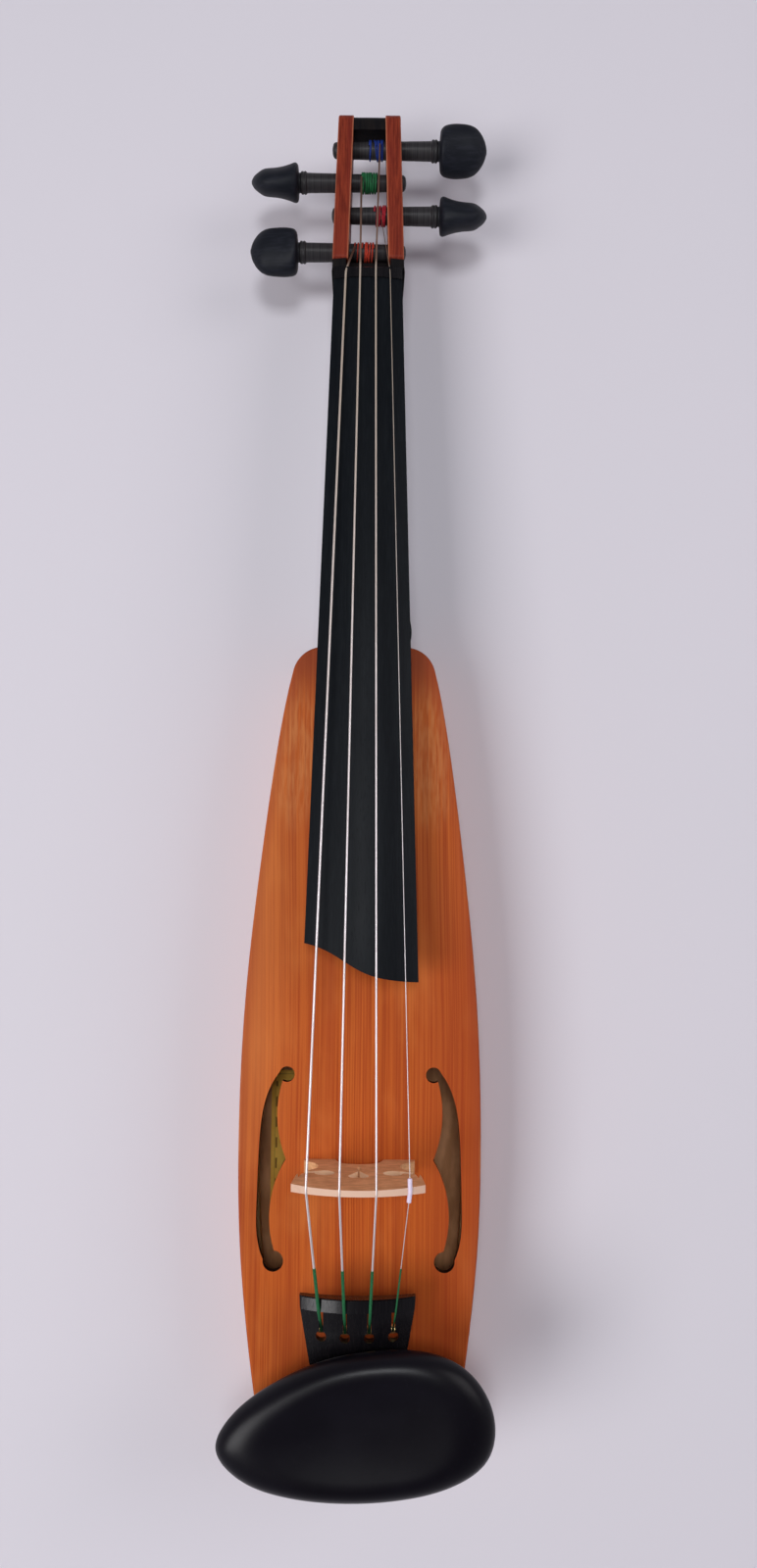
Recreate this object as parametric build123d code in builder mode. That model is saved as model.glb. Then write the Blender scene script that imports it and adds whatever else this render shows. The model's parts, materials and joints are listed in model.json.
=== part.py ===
"""Slim-bodied travel violin: flat plates, open pegbox with two cheeks, wide chin rest on a clamp.

Millimetres. +Y runs from the bridge to the head, +X to the treble side, +Z out of the belly.
The origin is on the centre line, under the bridge, on the back's flat outer face.
"""
import os
from math import cos, radians, sin, sqrt

from build123d import *

# ---- driving dimensions ---------------------------------------------------------------------
STRING_LENGTH = 328.0       # nut to bridge, the full-size violin length
BODY_DEPTH = 36.0           # back, ribs and belly together
PLATE = 3.0                 # thickness of the back and of the belly
RIB = 1.6                   # rib thickness
OVERHANG = 0.8              # plate edge beyond the rib
UPPER_END = 186.0           # body end at the neck
LOWER_END = -103.5          # body end at the end button
UPPER_FLAT = 14.8           # half-width of the straight upper end
LOWER_FLAT = 16.8           # half-width of the straight lower end
CROWN_RADIUS = 42.0         # cross curve of fingerboard, bridge, nut and tailpiece

BOARD_NUT_END = 325.5       # fingerboard, from the nut ...
BOARD_FREE_END = 66.0       # ... to its free end on the treble side
BOARD_HALF_NUT = 12.85
BOARD_HALF_FREE = 19.8
BOARD_CROWN_NUT = 38.2      # height of the playing surface at both ends
BOARD_CROWN_FREE = 58.4
NECK_TOP_NUT = 31.7         # height of the glue face under the board, at the nut ...
NECK_TOP_BODY = 41.3        # ... and over the body's upper end

NUT_TOP = 38.75
NUT_FOOT_END = 330.5        # head end of the nut
BRIDGE_TOP = 69.3
BRIDGE_HALF_FEET = 19.4
BRIDGE_HALF_TOP = 22.1
BRIDGE_FOOT_THICK = 4.5
BRIDGE_TOP_THICK = 2.0

CHEEK_START = 334.0         # pegbox cheeks, from the neck ...
CHEEK_END = 394.0           # ... to the end of the head
CHEEK_OUTER = (13.5, 11.8)  # outer half-width at the neck and at the head
CHEEK_INNER = (7.6, 6.0)    # inner half-width at the neck and at the head
SLOT_END = 387.0            # end of the open pegbox slot
HEAD_LOW = 20.0             # underside of the head's end
PEG_Z = 27.5
PEG_RING = 24.0             # from the centre line to the ring turned on the shaft
PEG_RING_END = 26.2
PEG_HEAD_START = 27.0
PEG_TIP = 14.3              # how far the shaft comes out on the other side
SHAFT_AT_RING = 3.55        # shaft radius beside the ring
SHAFT_TAPER = 1 / 60        # radius lost per millimetre, the usual 1:30 on the diameter
RING_RADIUS = 4.1
PEG_HEAD = (                # distance along the head, half-width across the flats' plane, half-thickness
    (0.0, 4.0, 4.0), (0.4, 7.4, 6.4), (1.3, 8.4, 7.0), (3.0, 9.1, 6.6), (5.5, 9.45, 5.85), (8.5, 9.4, 5.3),
    (11.5, 9.0, 5.05), (13.5, 8.2, 4.7), (15.2, 6.9, 3.8), (16.6, 5.0, 2.8), (17.6, 3.0, 1.8), (18.2, 1.0, 0.7),
)
RUNNING_GAP = 0.05          # radial clearance of a shaft in its hole

# string: position on the nut, bridge and tailpiece, radius, peg place, side and turn, winding,
# and where along the peg the string leaves the winding
STRINGS = {
    "g": dict(nut=-8.25, bridge=-17.0, tail=-12.8, r=0.41, y=340.8, side=-1, turn=0, wind=-1.5,
              width=8.0, end=-5.2),
    "d": dict(nut=-2.9, bridge=-6.0, tail=-4.3, r=0.37, y=368.8, side=-1, turn=58, wind=0.0,
              width=6.4, end=-2.9),
    "a": dict(nut=2.9, bridge=6.0, tail=4.3, r=0.34, y=382.0, side=1, turn=148, wind=2.6,
              width=6.2, end=4.0),
    "e": dict(nut=8.25, bridge=17.0, tail=12.8, r=0.14, y=355.6, side=1, turn=59, wind=4.3,
              width=5.0, end=4.2),
}
WINDING_RADIUS = 3.95
SILK_WALL = 0.16            # silk over the string's tail end
SILK_START = -26.5
FRET_Y = -41.0
KEYHOLE_Y = -49.5
TAIL_TOP = 57.0             # tailpiece crown at the fret
TAIL_END = -92.0
TAIL_SLOPE = 0.175
TAIL_THICK = 4.6
GUT_RADIUS = 0.9
GUT_X = 4.2

REST_RIM = 66.0             # height of the chin rest's rim
REST_THICK = 9.0
REST_FOOT_X = 18.7          # middle of each chin rest foot
FOOT_WIDTH = 10.4
FOOT_LOW = -101.0
FOOT_HIGH = -90.5
CORK = 1.2
CLAMP_Y = -106.3            # axis of the clamp's screwed legs
TONGUE_LOW = 38.0           # flat tongue that holds each leg in its chin rest foot
TONGUE_THICK = 1.6
TONGUE_LAP = 1.3            # metal left outside each leg
TONGUE_WIDTH = 7.0
TONGUE_END = -93.5
SCREW_Y = -97.0
SCREW_HEAD = 2.0
SCREW_SHANK = 1.1
SCREW_LENGTH = 11.0
LEG_RADIUS = 1.4
BARREL_RADIUS = 2.5
BARREL_LOW = 12.0
BARREL_HIGH = 28.0
CLAMP_FOOT_LOW = 0.2        # the clamp's lower foot lies inside the back's recess
CLAMP_FOOT_THICK = 1.8

RIB_TOP = BODY_DEPTH - PLATE


def sag(x, radius=CROWN_RADIUS):
    """Drop of a crowned surface at x from the centre line."""
    return radius - sqrt(radius**2 - x**2)


def along(y, start, end, low, high):
    """Value at y on the straight line from low at start to high at end."""
    return low + (high - low) * (y - start) / (end - start)


def board_half(y):
    return along(y, BOARD_NUT_END, BOARD_FREE_END, BOARD_HALF_NUT, BOARD_HALF_FREE)


def board_crown(y):
    return along(y, BOARD_NUT_END, BOARD_FREE_END, BOARD_CROWN_NUT, BOARD_CROWN_FREE)


def neck_top(y):
    return along(y, BOARD_NUT_END, UPPER_END, NECK_TOP_NUT, NECK_TOP_BODY)


def tail_crown(y):
    return TAIL_TOP + TAIL_SLOPE * (y - FRET_Y)


def peg_radius(distance):
    """Radius of a peg's shaft at a distance from the centre line, positive towards its head."""
    return SHAFT_AT_RING - SHAFT_TAPER * (PEG_RING - distance)


def across(y):
    """Plane square to the neck at y, with its own X along +X and its own Y along +Z."""
    return Plane(origin=(0, y, 0), x_dir=(1, 0, 0), z_dir=(0, -1, 0))


def cheek_half(y, ends):
    return along(y, CHEEK_START, CHEEK_END, *ends)


os.makedirs("parts", exist_ok=True)


def save(part, label):
    """Give a finished piece its name and write it."""
    part.part.label = label
    export_step(part.part, f"parts/{label}.step")


# ---- sound box --------------------------------------------------------------------------------
SIDE_POINTS = ((31.0, 150.0), (36.5, 107.5), (40.7, 65.5), (42.7, 11.0), (41.4, -29.5), (38.7, -56.0))
SHOULDER = (25.8, 177.4)    # where the rounded shoulder runs into the long side
LOWER_CORNER = (33.4, -90.0)


def body_outline(inset=0.0):
    """Closed outline of the body, moved inwards by inset: flat ends, round corners, long curved sides."""
    with BuildSketch() as sketch:
        with BuildLine():
            upper = Line((0, UPPER_END - inset), (UPPER_FLAT - inset / 2, UPPER_END - inset))
            shoulder_end = (SHOULDER[0] - inset, SHOULDER[1] - inset / 2)
            shoulder = TangentArc(upper @ 1, shoulder_end, tangent=(1, 0))
            side_points = [(x - inset, y) for x, y in (*SIDE_POINTS, LOWER_CORNER)]
            side = Spline(shoulder @ 1, *side_points, tangents=[shoulder % 1, (-0.2, -1)])
            corner = TangentArc(side @ 1, (LOWER_FLAT - inset / 2, LOWER_END + inset), tangent=side % 1)
            Line(corner @ 1, (0, LOWER_END + inset))
            mirror(about=Plane.YZ)
        make_face()
    return sketch.sketch


outline = body_outline()
rib_line = body_outline(OVERHANG)
rib_inside = body_outline(OVERHANG + RIB)

NECK_TENON_HALF = 10.0
NECK_TENON_END = 180.0
SADDLE_HALF = 12.6
SADDLE_END = -98.5
BUTTON_Z = 18.0

# one sound hole: a crescent stem with a point towards the bridge, and a round eye at each end
with BuildSketch() as sound_hole:
    with BuildLine():
        outer = Spline((27.0, 35.0), (31.9, 27.6), (35.3, 9), (35.9, -11), (34.6, -28), (31.0, -35.0))
        Line(outer @ 1, (29.6, -28))
        lower_stem = ThreePointArc((29.6, -28), (31.2, -12.0), (25.9, 3.2))
        upper_stem = ThreePointArc(lower_stem @ 1, (29.0, 16), (27.4, 30.5))
        Line(upper_stem @ 1, outer @ 0)
    make_face()
    with Locations((25.9, 32.5)):
        Circle(2.7)
    with Locations((29.9, -31.6)):
        Circle(3.6)

EDGE_ROUND = 0.9            # rounded outer edge of both plates
with BuildPart() as belly:
    with BuildSketch(Plane.XY.offset(RIB_TOP)):
        add(outline)
    extrude(amount=PLATE)
    fillet(belly.edges().group_by(Axis.Z)[-1], radius=EDGE_ROUND)
    with BuildSketch(Plane.XY.offset(RIB_TOP)):
        add(sound_hole.sketch)
        add(sound_hole.sketch.mirror(Plane.YZ))
        with Locations((0, UPPER_END)):
            Rectangle(2 * NECK_TENON_HALF, 2 * (UPPER_END - NECK_TENON_END))
        with Locations((0, LOWER_END)):
            Rectangle(2 * SADDLE_HALF, 2 * (SADDLE_END - LOWER_END))
    extrude(amount=PLATE, mode=Mode.SUBTRACT)
save(belly, "belly")

RECESS_HALF = 24.5
RECESS_END = -94.0
with BuildPart() as back_plate:
    with BuildSketch():
        add(outline)
    extrude(amount=PLATE)
    fillet(back_plate.edges().group_by(Axis.Z)[0], radius=EDGE_ROUND)
    with BuildSketch():
        with Locations((0, LOWER_END)):
            Rectangle(2 * RECESS_HALF, 2 * (RECESS_END - LOWER_END))
    extrude(amount=PLATE, mode=Mode.SUBTRACT)
save(back_plate, "back_plate")

BUTTON_HOLE = 3.7
for name, kept in (("rib_bass", Keep.BOTTOM), ("rib_treble", Keep.TOP)):
    with BuildPart() as rib:
        with BuildSketch(Plane.XY.offset(PLATE)):
            add(rib_line)
            add(rib_inside, mode=Mode.SUBTRACT)
            with Locations((0, UPPER_END)):
                Rectangle(2 * NECK_TENON_HALF, 2 * (UPPER_END - NECK_TENON_END), mode=Mode.SUBTRACT)
        extrude(amount=RIB_TOP - PLATE)
        with BuildSketch(Plane.XZ.offset(-LOWER_END)):
            with Locations((0, BUTTON_Z)):
                Circle(BUTTON_HOLE + 0.1)
        extrude(amount=-8, mode=Mode.SUBTRACT)
        split(bisect_by=Plane.YZ, keep=kept)
    save(rib, name)

NECK_BLOCK_END = 168.0
END_BLOCK_END = -86.0
with BuildPart() as neck_block:
    with BuildSketch(Plane.XY.offset(PLATE)):
        add(rib_inside)
        with Locations((0, UPPER_END)):
            Rectangle(100, 2 * (UPPER_END - NECK_BLOCK_END), mode=Mode.INTERSECT)
            Rectangle(2 * NECK_TENON_HALF, 2 * (UPPER_END - NECK_TENON_END), mode=Mode.SUBTRACT)
    extrude(amount=RIB_TOP - PLATE)
save(neck_block, "neck_block")

with BuildPart() as end_block:
    with BuildSketch(Plane.XY.offset(PLATE)):
        add(rib_inside)
        with Locations((0, LOWER_END)):
            Rectangle(100, 2 * (END_BLOCK_END - LOWER_END), mode=Mode.INTERSECT)
    extrude(amount=RIB_TOP - PLATE)
    with BuildSketch(Plane.XZ.offset(-LOWER_END)):
        with Locations((0, BUTTON_Z)):
            Circle(BUTTON_HOLE + 0.02)
    extrude(amount=-30, mode=Mode.SUBTRACT)
save(end_block, "end_block")

LINING_DEEP = 6.0
LINING_THICK = 2.0
lining_inside = body_outline(OVERHANG + RIB + LINING_THICK)
for name, low in (("upper_linings", RIB_TOP - LINING_DEEP), ("lower_linings", PLATE)):
    with BuildPart() as linings:
        with BuildSketch(Plane.XY.offset(low)):
            add(rib_inside)
            add(lining_inside, mode=Mode.SUBTRACT)
            with Locations((0, (NECK_BLOCK_END + END_BLOCK_END) / 2)):
                Rectangle(100, NECK_BLOCK_END - END_BLOCK_END - 0.4, mode=Mode.INTERSECT)
        extrude(amount=LINING_DEEP)
    save(linings, name)

BAR_X = -15.5
with BuildPart() as bass_bar:
    with BuildSketch(Plane.YZ.offset(BAR_X - 2.4)):
        with BuildLine():
            Line((-76, RIB_TOP), (112, RIB_TOP))
            Line((112, RIB_TOP), (112, RIB_TOP - 3))
            ThreePointArc((112, RIB_TOP - 3), (8, RIB_TOP - 9), (-76, RIB_TOP - 3))
            Line((-76, RIB_TOP - 3), (-76, RIB_TOP))
        make_face()
    extrude(amount=4.8)
save(bass_bar, "bass_bar")

with BuildPart() as sound_post:
    with BuildSketch(Plane.XY.offset(PLATE)):
        with Locations((15.5, -5)):
            Circle(3.0)
    extrude(amount=RIB_TOP - PLATE)
save(sound_post, "sound_post")

with BuildPart() as label:
    with BuildSketch(Plane.XY.offset(PLATE)):
        with Locations((-16, 0.5)):
            Rectangle(36, 57)
    extrude(amount=0.2)
save(label, "label")

# ---- neck, head and fingerboard --------------------------------------------------------------
NECK_END = 336.0            # tongue between the cheeks
FLOOR_END = 343.0           # its lower part, under the first peg
THROAT_START = 318.0
THROAT_LOW = 15.6
SHAFT_DEPTH = (13.2, 16.4)  # below the glue face, at the throat and at the heel
HEEL_SECTIONS = (           # height, half-width and reach of the heel from the body's end
    (PLATE, 10.5, 12.0),
    (14.0, 13.0, 12.8),
    (24.0, 15.4, 16.5),
    (30.0, 16.0, 24.0),
)
def neck_section(y, half, side_depth, low):
    """D-shaped cross-section: flat glue face, short upright sides, round back."""
    top = neck_top(y)
    with BuildSketch(across(y)) as section:
        with BuildLine():
            Polyline((-half, top - side_depth), (-half, top), (half, top), (half, top - side_depth))
            ThreePointArc((half, top - side_depth), (0, low), (-half, top - side_depth))
        make_face()
    return section.sketch


with BuildPart() as neck:
    shaft_low = [neck_top(y) - depth for y, depth in zip((THROAT_START, UPPER_END), SHAFT_DEPTH)]
    shaft_start = neck_section(THROAT_START, board_half(THROAT_START) - 0.05, 1.5, shaft_low[0])
    shaft_end = neck_section(UPPER_END, board_half(UPPER_END) - 0.05, 1.5, shaft_low[1])
    loft([shaft_start, shaft_end])
    # throat: the shaft swells to carry the nut and the cheeks
    swell = neck_section(331.5, 13.9, 5.0, THROAT_LOW + 0.6)
    face = neck_section(CHEEK_START, CHEEK_OUTER[0] + 0.1, 6.5, THROAT_LOW)
    loft([shaft_start, swell, face], ruled=True)
    for height, half, reach in HEEL_SECTIONS:
        with BuildSketch(Plane.XY.offset(height)):
            with BuildLine():
                Line((-half, UPPER_END), (half, UPPER_END))
                ThreePointArc((half, UPPER_END), (0, UPPER_END + reach), (-half, UPPER_END))
            make_face()
    loft()
    # tenon let into the body's upper end, level with the glue face on top
    with BuildSketch(Plane.YZ.offset(-NECK_TENON_HALF)):
        Polygon(
            (NECK_TENON_END, PLATE), (UPPER_END + 1, PLATE), (UPPER_END + 1, neck_top(UPPER_END + 1)),
            (NECK_TENON_END, neck_top(NECK_TENON_END)), align=None,
        )
    extrude(amount=2 * NECK_TENON_HALF)
    # tongue between the cheeks
    with BuildSketch(Plane.YZ.offset(-CHEEK_OUTER[0])):
        with BuildLine():
            Polyline(
                (CHEEK_START - 1, THROAT_LOW + 0.4), (FLOOR_END, THROAT_LOW + 0.4), (FLOOR_END, 19.6),
                (NECK_END, 22.8), (NECK_END, 29.0),
                (NECK_END - 1, 30.5), (CHEEK_START - 1, 31.0), close=True,
            )
        make_face()
    extrude(amount=2 * CHEEK_OUTER[0])
    with BuildSketch() as beside_tongue:
        for sign in (-1, 1):
            Polygon(
                (sign * CHEEK_INNER[0], CHEEK_START), (sign * 20, CHEEK_START), (sign * 20, FLOOR_END + 1),
                (sign * cheek_half(FLOOR_END + 1, CHEEK_INNER), FLOOR_END + 1), align=None,
            )
    extrude(amount=60, mode=Mode.SUBTRACT)
    # over the cheeks' start the glue face stops behind the nut
    with BuildSketch(Plane.YZ.offset(-20)):
        Polygon(
            (NUT_FOOT_END, neck_top(NUT_FOOT_END)), (CHEEK_START + 1, 30.6), (CHEEK_START + 1, 40),
            (NUT_FOOT_END, 40), align=None,
        )
    extrude(amount=40, mode=Mode.SUBTRACT)
    # shoulders behind the nut, level with the cheeks
    with BuildSketch(across(NUT_FOOT_END)):
        for sign in (-1, 1):
            Polygon(
                (sign * 8.4, 30), (sign * CHEEK_OUTER[0], 30), (sign * CHEEK_OUTER[0], 35.2), (sign * 8.4, 36.2),
                align=None,
            )
    extrude(amount=NUT_FOOT_END - CHEEK_START)
save(neck, "neck")

for name, side_sign in (("cheek_bass", -1), ("cheek_treble", 1)):
    with BuildPart() as cheek:
        with BuildSketch() as plan:
            with BuildLine():
                Polyline(
                    (side_sign * CHEEK_INNER[0], CHEEK_START), (side_sign * CHEEK_OUTER[0], CHEEK_START),
                    (side_sign * CHEEK_OUTER[1], CHEEK_END), (side_sign * CHEEK_INNER[1], CHEEK_END),
                    close=True,
                )
            make_face()
            outer_corner = plan.vertices().group_by(Axis.Y)[-1].sort_by(lambda vertex: abs(vertex.X))[-1]
            fillet(outer_corner, radius=1.4)
        extrude(amount=60)
        with BuildSketch(Plane.YZ):
            with BuildLine():
                FilletPolyline(
                    (CHEEK_START, THROAT_LOW), (CHEEK_START, 36.4), (350, 36.0), (CHEEK_END, 33.4),
                    (CHEEK_END, HEAD_LOW), (352, THROAT_LOW), (CHEEK_START + 2, THROAT_LOW),
                    radius=(1.2, 60, 3.5, 3.5, 40),
                )
                Line((CHEEK_START + 2, THROAT_LOW), (CHEEK_START, THROAT_LOW))
            make_face()
        extrude(amount=40, both=True, mode=Mode.INTERSECT)
        for spec in STRINGS.values():
            for distance in (-20, 20):
                with BuildSketch(Plane.YZ.offset(distance * spec["side"])):
                    with Locations((spec["y"], PEG_Z)):
                        Circle(peg_radius(distance) + RUNNING_GAP)
            loft(mode=Mode.SUBTRACT)
        rounded = cheek.edges().filter_by_position(Axis.Y, CHEEK_START + 4, CHEEK_END + 1).filter_by(
            lambda e: e.center().Z > 34 or e.center().Z < HEAD_LOW - 1
        )
        fillet(rounded, radius=0.5)
    save(cheek, name)

with BuildPart() as head_block:
    with BuildSketch():
        with BuildLine():
            Polyline(
                (0, SLOT_END), (cheek_half(SLOT_END, CHEEK_INNER), SLOT_END), (CHEEK_INNER[1], CHEEK_END),
                (0, CHEEK_END),
            )
            mirror(about=Plane.YZ)
        make_face()
    extrude(amount=60)
    with BuildSketch(Plane.YZ):
        with BuildLine():
            FilletPolyline(
                (SLOT_END - 1, 33.2), (CHEEK_END - 0.4, 32.6), (CHEEK_END - 0.4, HEAD_LOW + 0.4),
                (SLOT_END - 1, HEAD_LOW - 0.3), radius=3.5,
            )
            Line((SLOT_END - 1, HEAD_LOW - 0.3), (SLOT_END - 1, 33.2))
        make_face()
    extrude(amount=40, both=True, mode=Mode.INTERSECT)
save(head_block, "head_block")

with BuildPart() as fingerboard:
    for y in (BOARD_NUT_END, BOARD_FREE_END):
        half = board_half(y)
        edge = board_crown(y) - sag(half)
        with BuildSketch(across(y)):
            with BuildLine():
                Polyline((-half, edge), (-half, neck_top(y)), (half, neck_top(y)), (half, edge))
                ThreePointArc((half, edge), (0, board_crown(y)), (-half, edge))
            make_face()
    loft()
    with BuildSketch(Plane.XY.offset(40)):
        with BuildLine():
            ogee = Spline(
                (-30, 79.6), (-18.4, 79.1), (-10.1, 76.1), (-1.1, 70.8), (6.0, 68.1), (19.2, 66.4),
                (30, 66.3), tangents=[(1, 0), (1, 0)],
            )
            Polyline(ogee @ 1, (30, 50), (-30, 50), ogee @ 0)
        make_face()
    extrude(amount=30, mode=Mode.SUBTRACT)
    for y, half, deep in ((172.0, 10.0, 0.4), (60.0, 14.5, 3.6)):
        with BuildSketch(across(y)):
            with BuildLine():
                Line((-half, neck_top(y) - 0.5), (half, neck_top(y) - 0.5))
                ThreePointArc((half, neck_top(y) - 0.5), (0, neck_top(y) + deep), (-half, neck_top(y) - 0.5))
            make_face()
    loft(mode=Mode.SUBTRACT)
save(fingerboard, "fingerboard")


# ---- strings -----------------------------------------------------------------------------------
def string_points(spec):
    """Route of one string: winding, nut groove, bridge groove, tailpiece fret, keyhole."""
    r = spec["r"]
    peg_top = PEG_Z + WINDING_RADIUS + r + 0.1
    return (
        (spec["end"], spec["y"], peg_top),
        (spec["nut"], STRING_LENGTH, NUT_TOP - sag(spec["nut"]) + 0.5 * r),
        (spec["bridge"], 0, BRIDGE_TOP - sag(spec["bridge"]) + 0.5 * r),
        (spec["tail"], FRET_Y, TAIL_TOP + 1.0 - sag(spec["tail"]) + r + SILK_WALL),
        (spec["tail"] * 0.93, KEYHOLE_Y, TAIL_TOP - 4.4 - sag(spec["tail"])),
    )


def string_tube(spec, radius, first=0, last=4):
    """Round tube of the given radius along the string's route."""
    points = string_points(spec)[first:last + 1]
    with BuildPart(mode=Mode.PRIVATE) as tube:
        with BuildLine() as route:
            if len(points) > 2:
                FilletPolyline(*points, radius=(3.0, 3.0, 2.0)[first:first + len(points) - 2])
            else:
                Line(*points)
        with BuildSketch(Plane(origin=route.line @ 0, z_dir=route.line % 0)):
            Circle(radius)
        sweep()
    return tube.part


for key, spec in STRINGS.items():
    with BuildPart() as string:
        add(string_tube(spec, spec["r"]))
    save(string, f"string_{key}")

grooves = [string_tube(spec, spec["r"] + 0.03) for spec in STRINGS.values()]

with BuildPart() as string_silks:
    for spec in STRINGS.values():
        points = string_points(spec)
        share = (SILK_START - points[2][1]) / (points[3][1] - points[2][1])
        start = tuple(a + share * (b - a) for a, b in zip(points[2], points[3]))
        with BuildLine() as silk_route:
            FilletPolyline(start, points[3], points[4], radius=2.0)
        with BuildSketch(Plane(origin=silk_route.line @ 0, z_dir=silk_route.line % 0)):
            Circle(spec["r"] + SILK_WALL)
            Circle(spec["r"] + 0.01, mode=Mode.SUBTRACT)
        sweep()
save(string_silks, "string_silks")

with BuildPart() as string_balls:
    for spec in STRINGS.values():
        x, y, z = string_points(spec)[4]
        with BuildSketch(Plane.YZ.offset(x - 1.3)):
            with Locations((y - 0.4, z - 3.4)):
                Circle(1.5)
                Circle(0.5, mode=Mode.SUBTRACT)
        extrude(amount=2.6)
save(string_balls, "string_balls")

with BuildPart() as e_string_sleeve:
    spec = STRINGS["e"]
    points = string_points(spec)
    with BuildLine() as sleeve_route:
        ahead = tuple(b + 0.012 * (a - b) for a, b in zip(points[1], points[2]))
        behind = tuple(b + 0.09 * (a - b) for a, b in zip(points[3], points[2]))
        FilletPolyline(ahead, points[2], behind, radius=3.0)
    with BuildSketch(Plane(origin=sleeve_route.line @ 0, z_dir=sleeve_route.line % 0)):
        Circle(0.75)
        Circle(spec["r"] + 0.02, mode=Mode.SUBTRACT)
    sweep()
save(e_string_sleeve, "e_string_sleeve")

with BuildPart() as nut:
    half = board_half(STRING_LENGTH) + 0.1
    with BuildSketch(across(BOARD_NUT_END)):
        with BuildLine():
            edge = NUT_TOP - sag(half)
            foot = neck_top(STRING_LENGTH)
            Polyline((-half, edge), (-half, foot), (half, foot), (half, edge))
            ThreePointArc((half, edge), (0, NUT_TOP), (-half, edge))
        make_face()
    extrude(amount=-5)
    with BuildSketch(Plane.YZ):
        with BuildLine():
            Polyline((BOARD_NUT_END, 28), (NUT_FOOT_END, neck_top(NUT_FOOT_END)), (NUT_FOOT_END, 36.0))
            ThreePointArc((NUT_FOOT_END, 36.0), (329.6, 38.0), (BOARD_NUT_END, 39.4))
            Line((BOARD_NUT_END, 39.4), (BOARD_NUT_END, 28))
        make_face()
    extrude(amount=30, both=True, mode=Mode.INTERSECT)
    add(neck.part, mode=Mode.SUBTRACT)
    for groove in grooves:
        add(groove, mode=Mode.SUBTRACT)
save(nut, "nut")

# ---- bridge -------------------------------------------------------------------------------------
with BuildPart() as bridge:
    waist = 13.5
    top_edge = BRIDGE_TOP - sag(BRIDGE_HALF_TOP)
    with BuildSketch(Plane.XZ.offset(-BRIDGE_FOOT_THICK + 1.2)):
        with BuildLine():
            Line((0, BODY_DEPTH + 6.2), (4, BODY_DEPTH + 5.6))
            Spline(
                (4, BODY_DEPTH + 5.6), (7.2, BODY_DEPTH + 3.6), (8.4, BODY_DEPTH),
                tangents=[(1, -0.2), (0.1, -1)],
            )
            Line((8.4, BODY_DEPTH), (BRIDGE_HALF_FEET, BODY_DEPTH))
            Spline(
                (BRIDGE_HALF_FEET, BODY_DEPTH), (19.2, BODY_DEPTH + 2.2), (15.2, BODY_DEPTH + 5.5),
                (waist + 0.8, BODY_DEPTH + 10), (18.4, BODY_DEPTH + 14.5), (20.2, BODY_DEPTH + 20),
                (BRIDGE_HALF_TOP, top_edge), tangents=[(0, 1), (0.1, 1)],
            )
            ThreePointArc((BRIDGE_HALF_TOP, top_edge), (12, BRIDGE_TOP - sag(12)), (0, BRIDGE_TOP))
            mirror(about=Plane.YZ)
        make_face()
        # heart over the arch, two kidneys at the waist, and the slots beside them
        with Locations((-1.55, BODY_DEPTH + 18.6), (1.55, BODY_DEPTH + 18.6)):
            Circle(1.9, mode=Mode.SUBTRACT)
        with Locations((0, BODY_DEPTH + 16.3)):
            Polygon((-3.1, 1.6), (0, -3.2), (3.1, 1.6), align=None, mode=Mode.SUBTRACT)
        with Locations((0, BODY_DEPTH + 11.4)):
            SlotOverall(4.2, 1.5, rotation=90, mode=Mode.SUBTRACT)
        with Locations((-11.6, BODY_DEPTH + 15.5), (11.6, BODY_DEPTH + 15.5)):
            Ellipse(3.4, 2.5, mode=Mode.SUBTRACT)
        for sign in (-1, 1):
            with Locations((sign * 17.5, BODY_DEPTH + 15.2)):
                SlotOverall(8.0, 1.8, rotation=sign * 12, mode=Mode.SUBTRACT)
    extrude(amount=BRIDGE_FOOT_THICK)
    with BuildSketch(Plane.YZ):
        with BuildLine():
            Polyline(
                (-1.2 + BRIDGE_FOOT_THICK, BODY_DEPTH + 2), (-1.2 + BRIDGE_TOP_THICK, BRIDGE_TOP + 1),
                (12, BRIDGE_TOP + 1), (12, BODY_DEPTH + 2), close=True,
            )
        make_face()
    extrude(amount=30, both=True, mode=Mode.SUBTRACT)
    for groove in grooves[:3]:
        add(groove, mode=Mode.SUBTRACT)
    with BuildLine() as sleeve_line:
        FilletPolyline(ahead, points[2], behind, radius=3.0)
    with BuildSketch(Plane(origin=sleeve_line.line @ 0, z_dir=sleeve_line.line % 0)):
        Circle(0.78)
    sweep(mode=Mode.SUBTRACT)
save(bridge, "bridge")

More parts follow.
